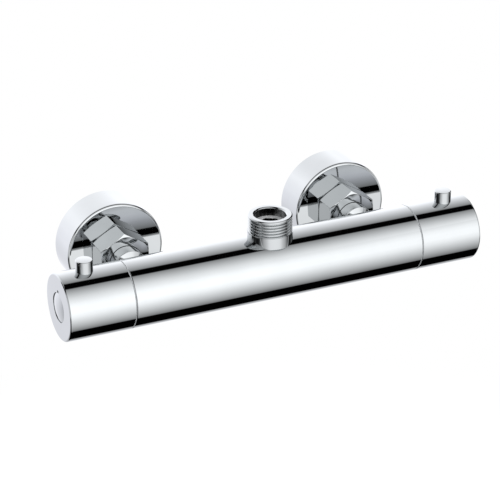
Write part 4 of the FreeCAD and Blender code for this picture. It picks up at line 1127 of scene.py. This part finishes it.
def studio_world(stage):
    """White behind the object, and a soft studio with dark strips above and below in the chrome."""
    world = bpy.data.worlds.new("studio")
    bpy.context.scene.world = world
    made = Nodes(world)
    x, y, z = made.split(made.add("TexCoord").outputs["Generated"])
    forward = made.reckon("MULTIPLY", y, -1)
    turn = made.spread(made.reckon("ARCTAN2", z, forward), 0, 1, -math.pi, math.pi)
    shades = [
        ((degrees + 180) / 360, value * (stage.tint * (1 - share) + stage.lavender * share))
        for degrees, value, share in STUDIO
    ]
    strips = made.ramp(turn, shades)
    sideways = made.reckon("ABSOLUTE", x)
    along = made.reckon("MULTIPLY", sideways, made.reckon("SIGN", forward))
    fade = signed_greys(made, along, STUDIO_SIDES)
    brightness = made.reckon("MAXIMUM", fade, signed_greys(made, z, STUDIO_CLEAR))
    strength = made.reckon("MULTIPLY", brightness, stage.mirrored_level)
    side_shade = (*(stage.side_level * value for value in stage.tint), 1)
    side = made.spread(sideways, 0, 1, SIDE_START, SIDE_END)
    mirrored = background(made, made.mix(side, strips, side_shade), strength)
    plain = background(made, WHITE, stage.plain_level)
    path = made.add("LightPath").outputs
    shiny = made.reckon("MAXIMUM", path["Is Glossy Ray"], path["Is Transmission Ray"])
    unseen = made.either(shiny, plain, mirrored)
    seen = made.either(path["Is Camera Ray"], unseen, background(made, WHITE, 1))
    made.fill(made.add("OutputWorld"), Surface=seen)


def floor_material(stage):
    """Pale floor that keeps the shadow close by and fades into white further out."""
    material = bpy.data.materials.new("pale_floor")
    made = Nodes(material)
    reach = made.reach(made.add("TexCoord").outputs["Object"])
    fade = made.spread(
        reach, 0, 1, stage.shadow_reach, stage.shadow_end, interpolation_type="SMOOTHSTEP"
    )
    near = made.fill(made.add("BsdfDiffuse"), Color=(*stage.floor, 1)).outputs["BSDF"]
    far = made.add("Emission").outputs["Emission"]
    white = made.reckon("MULTIPLY", made.add("LightPath").outputs["Is Camera Ray"], fade)
    made.fill(made.add("OutputMaterial"), Surface=made.either(white, near, far))
    return material


class MIXER_OT_stage(Operator):
    """Floor, studio light and the camera at the photograph's angle"""

    bl_idname = "mixer.stage"
    bl_label = "Stage"

    def execute(self, context):
        stage = context.scene.mixer_stage
        context.scene.view_settings.view_transform = "Standard"
        studio_world(stage)
        deselect()
        bpy.ops.mesh.primitive_plane_add(
            size=stage.floor_size, location=(0, BAR_AXIS.y, cad_low.z - stage.floor_drop)
        )
        floor = bpy.context.object
        floor.name = "floor"
        floor.data.materials.append(floor_material(stage))
        floor.visible_glossy = False
        for name, side in (("left_lamp", -1), ("right_lamp", 1)):
            deselect()
            place = (side * stage.lamp_side, -stage.lamp_front, stage.lamp_height)
            bpy.ops.object.light_add(type="AREA", location=place)
            lamp = bpy.context.object
            lamp.name = name
            lamp.data.shape = "DISK"
            lamp.data.size = stage.lamp_size
            lamp.data.energy = stage.lamp_power
            lamp.visible_glossy = False
            aim = BAR_AXIS - lamp.location
            lamp.rotation_euler = aim.to_track_quat("-Z", "Y").to_euler()
        back = Vector((
            math.sin(stage.azimuth) * math.cos(stage.elevation),
            -math.cos(stage.azimuth) * math.cos(stage.elevation),
            math.sin(stage.elevation),
        ))
        right = Vector((math.cos(stage.azimuth), math.sin(stage.azimuth), 0))
        above = back.cross(right)
        target = BAR_AXIS + right * stage.aim_right + above * stage.aim_up
        deselect()
        bpy.ops.object.camera_add(location=target + back * stage.distance)
        camera = context.object
        camera.name = "photo_camera"
        camera.rotation_euler = (-back).to_track_quat("-Z", "Y").to_euler()
        camera.data.lens = stage.lens
        context.scene.camera = camera
        return {"FINISHED"}


class MIXER_PT_panel(Panel):
    """Steps that dress the mixer"""

    bl_label = "Bar shower mixer"
    bl_idname = "MIXER_PT_panel"
    bl_space_type = "VIEW_3D"
    bl_region_type = "UI"
    bl_category = "Mixer"

    def draw(self, context):
        for step in STEPS:
            self.layout.operator(step.bl_idname)


STEPS = (
    MIXER_OT_solids,
    MIXER_OT_bar,
    MIXER_OT_outlet,
    MIXER_OT_handles,
    MIXER_OT_levers,
    MIXER_OT_caps,
    MIXER_OT_nuts,
    MIXER_OT_necks,
    MIXER_OT_flanges,
    MIXER_OT_springs,
    MIXER_OT_stage,
)
GROUPS = {"mixer_sizes": MixerSizes, "mixer_finish": MixerFinish, "mixer_stage": MixerStage}


def register():
    for item in (*GROUPS.values(), *STEPS, MIXER_PT_panel):
        bpy.utils.register_class(item)
    for name, group in GROUPS.items():
        setattr(bpy.types.Scene, name, PointerProperty(type=group))


def unregister():
    for name in GROUPS:
        delattr(bpy.types.Scene, name)
    for item in reversed((*GROUPS.values(), *STEPS, MIXER_PT_panel)):
        bpy.utils.unregister_class(item)


def main():
    register()
    for step in STEPS:
        group, name = step.bl_idname.split(".")
        getattr(getattr(bpy.ops, group), name)()
    deselect()


if __name__ == "__main__":
    main()
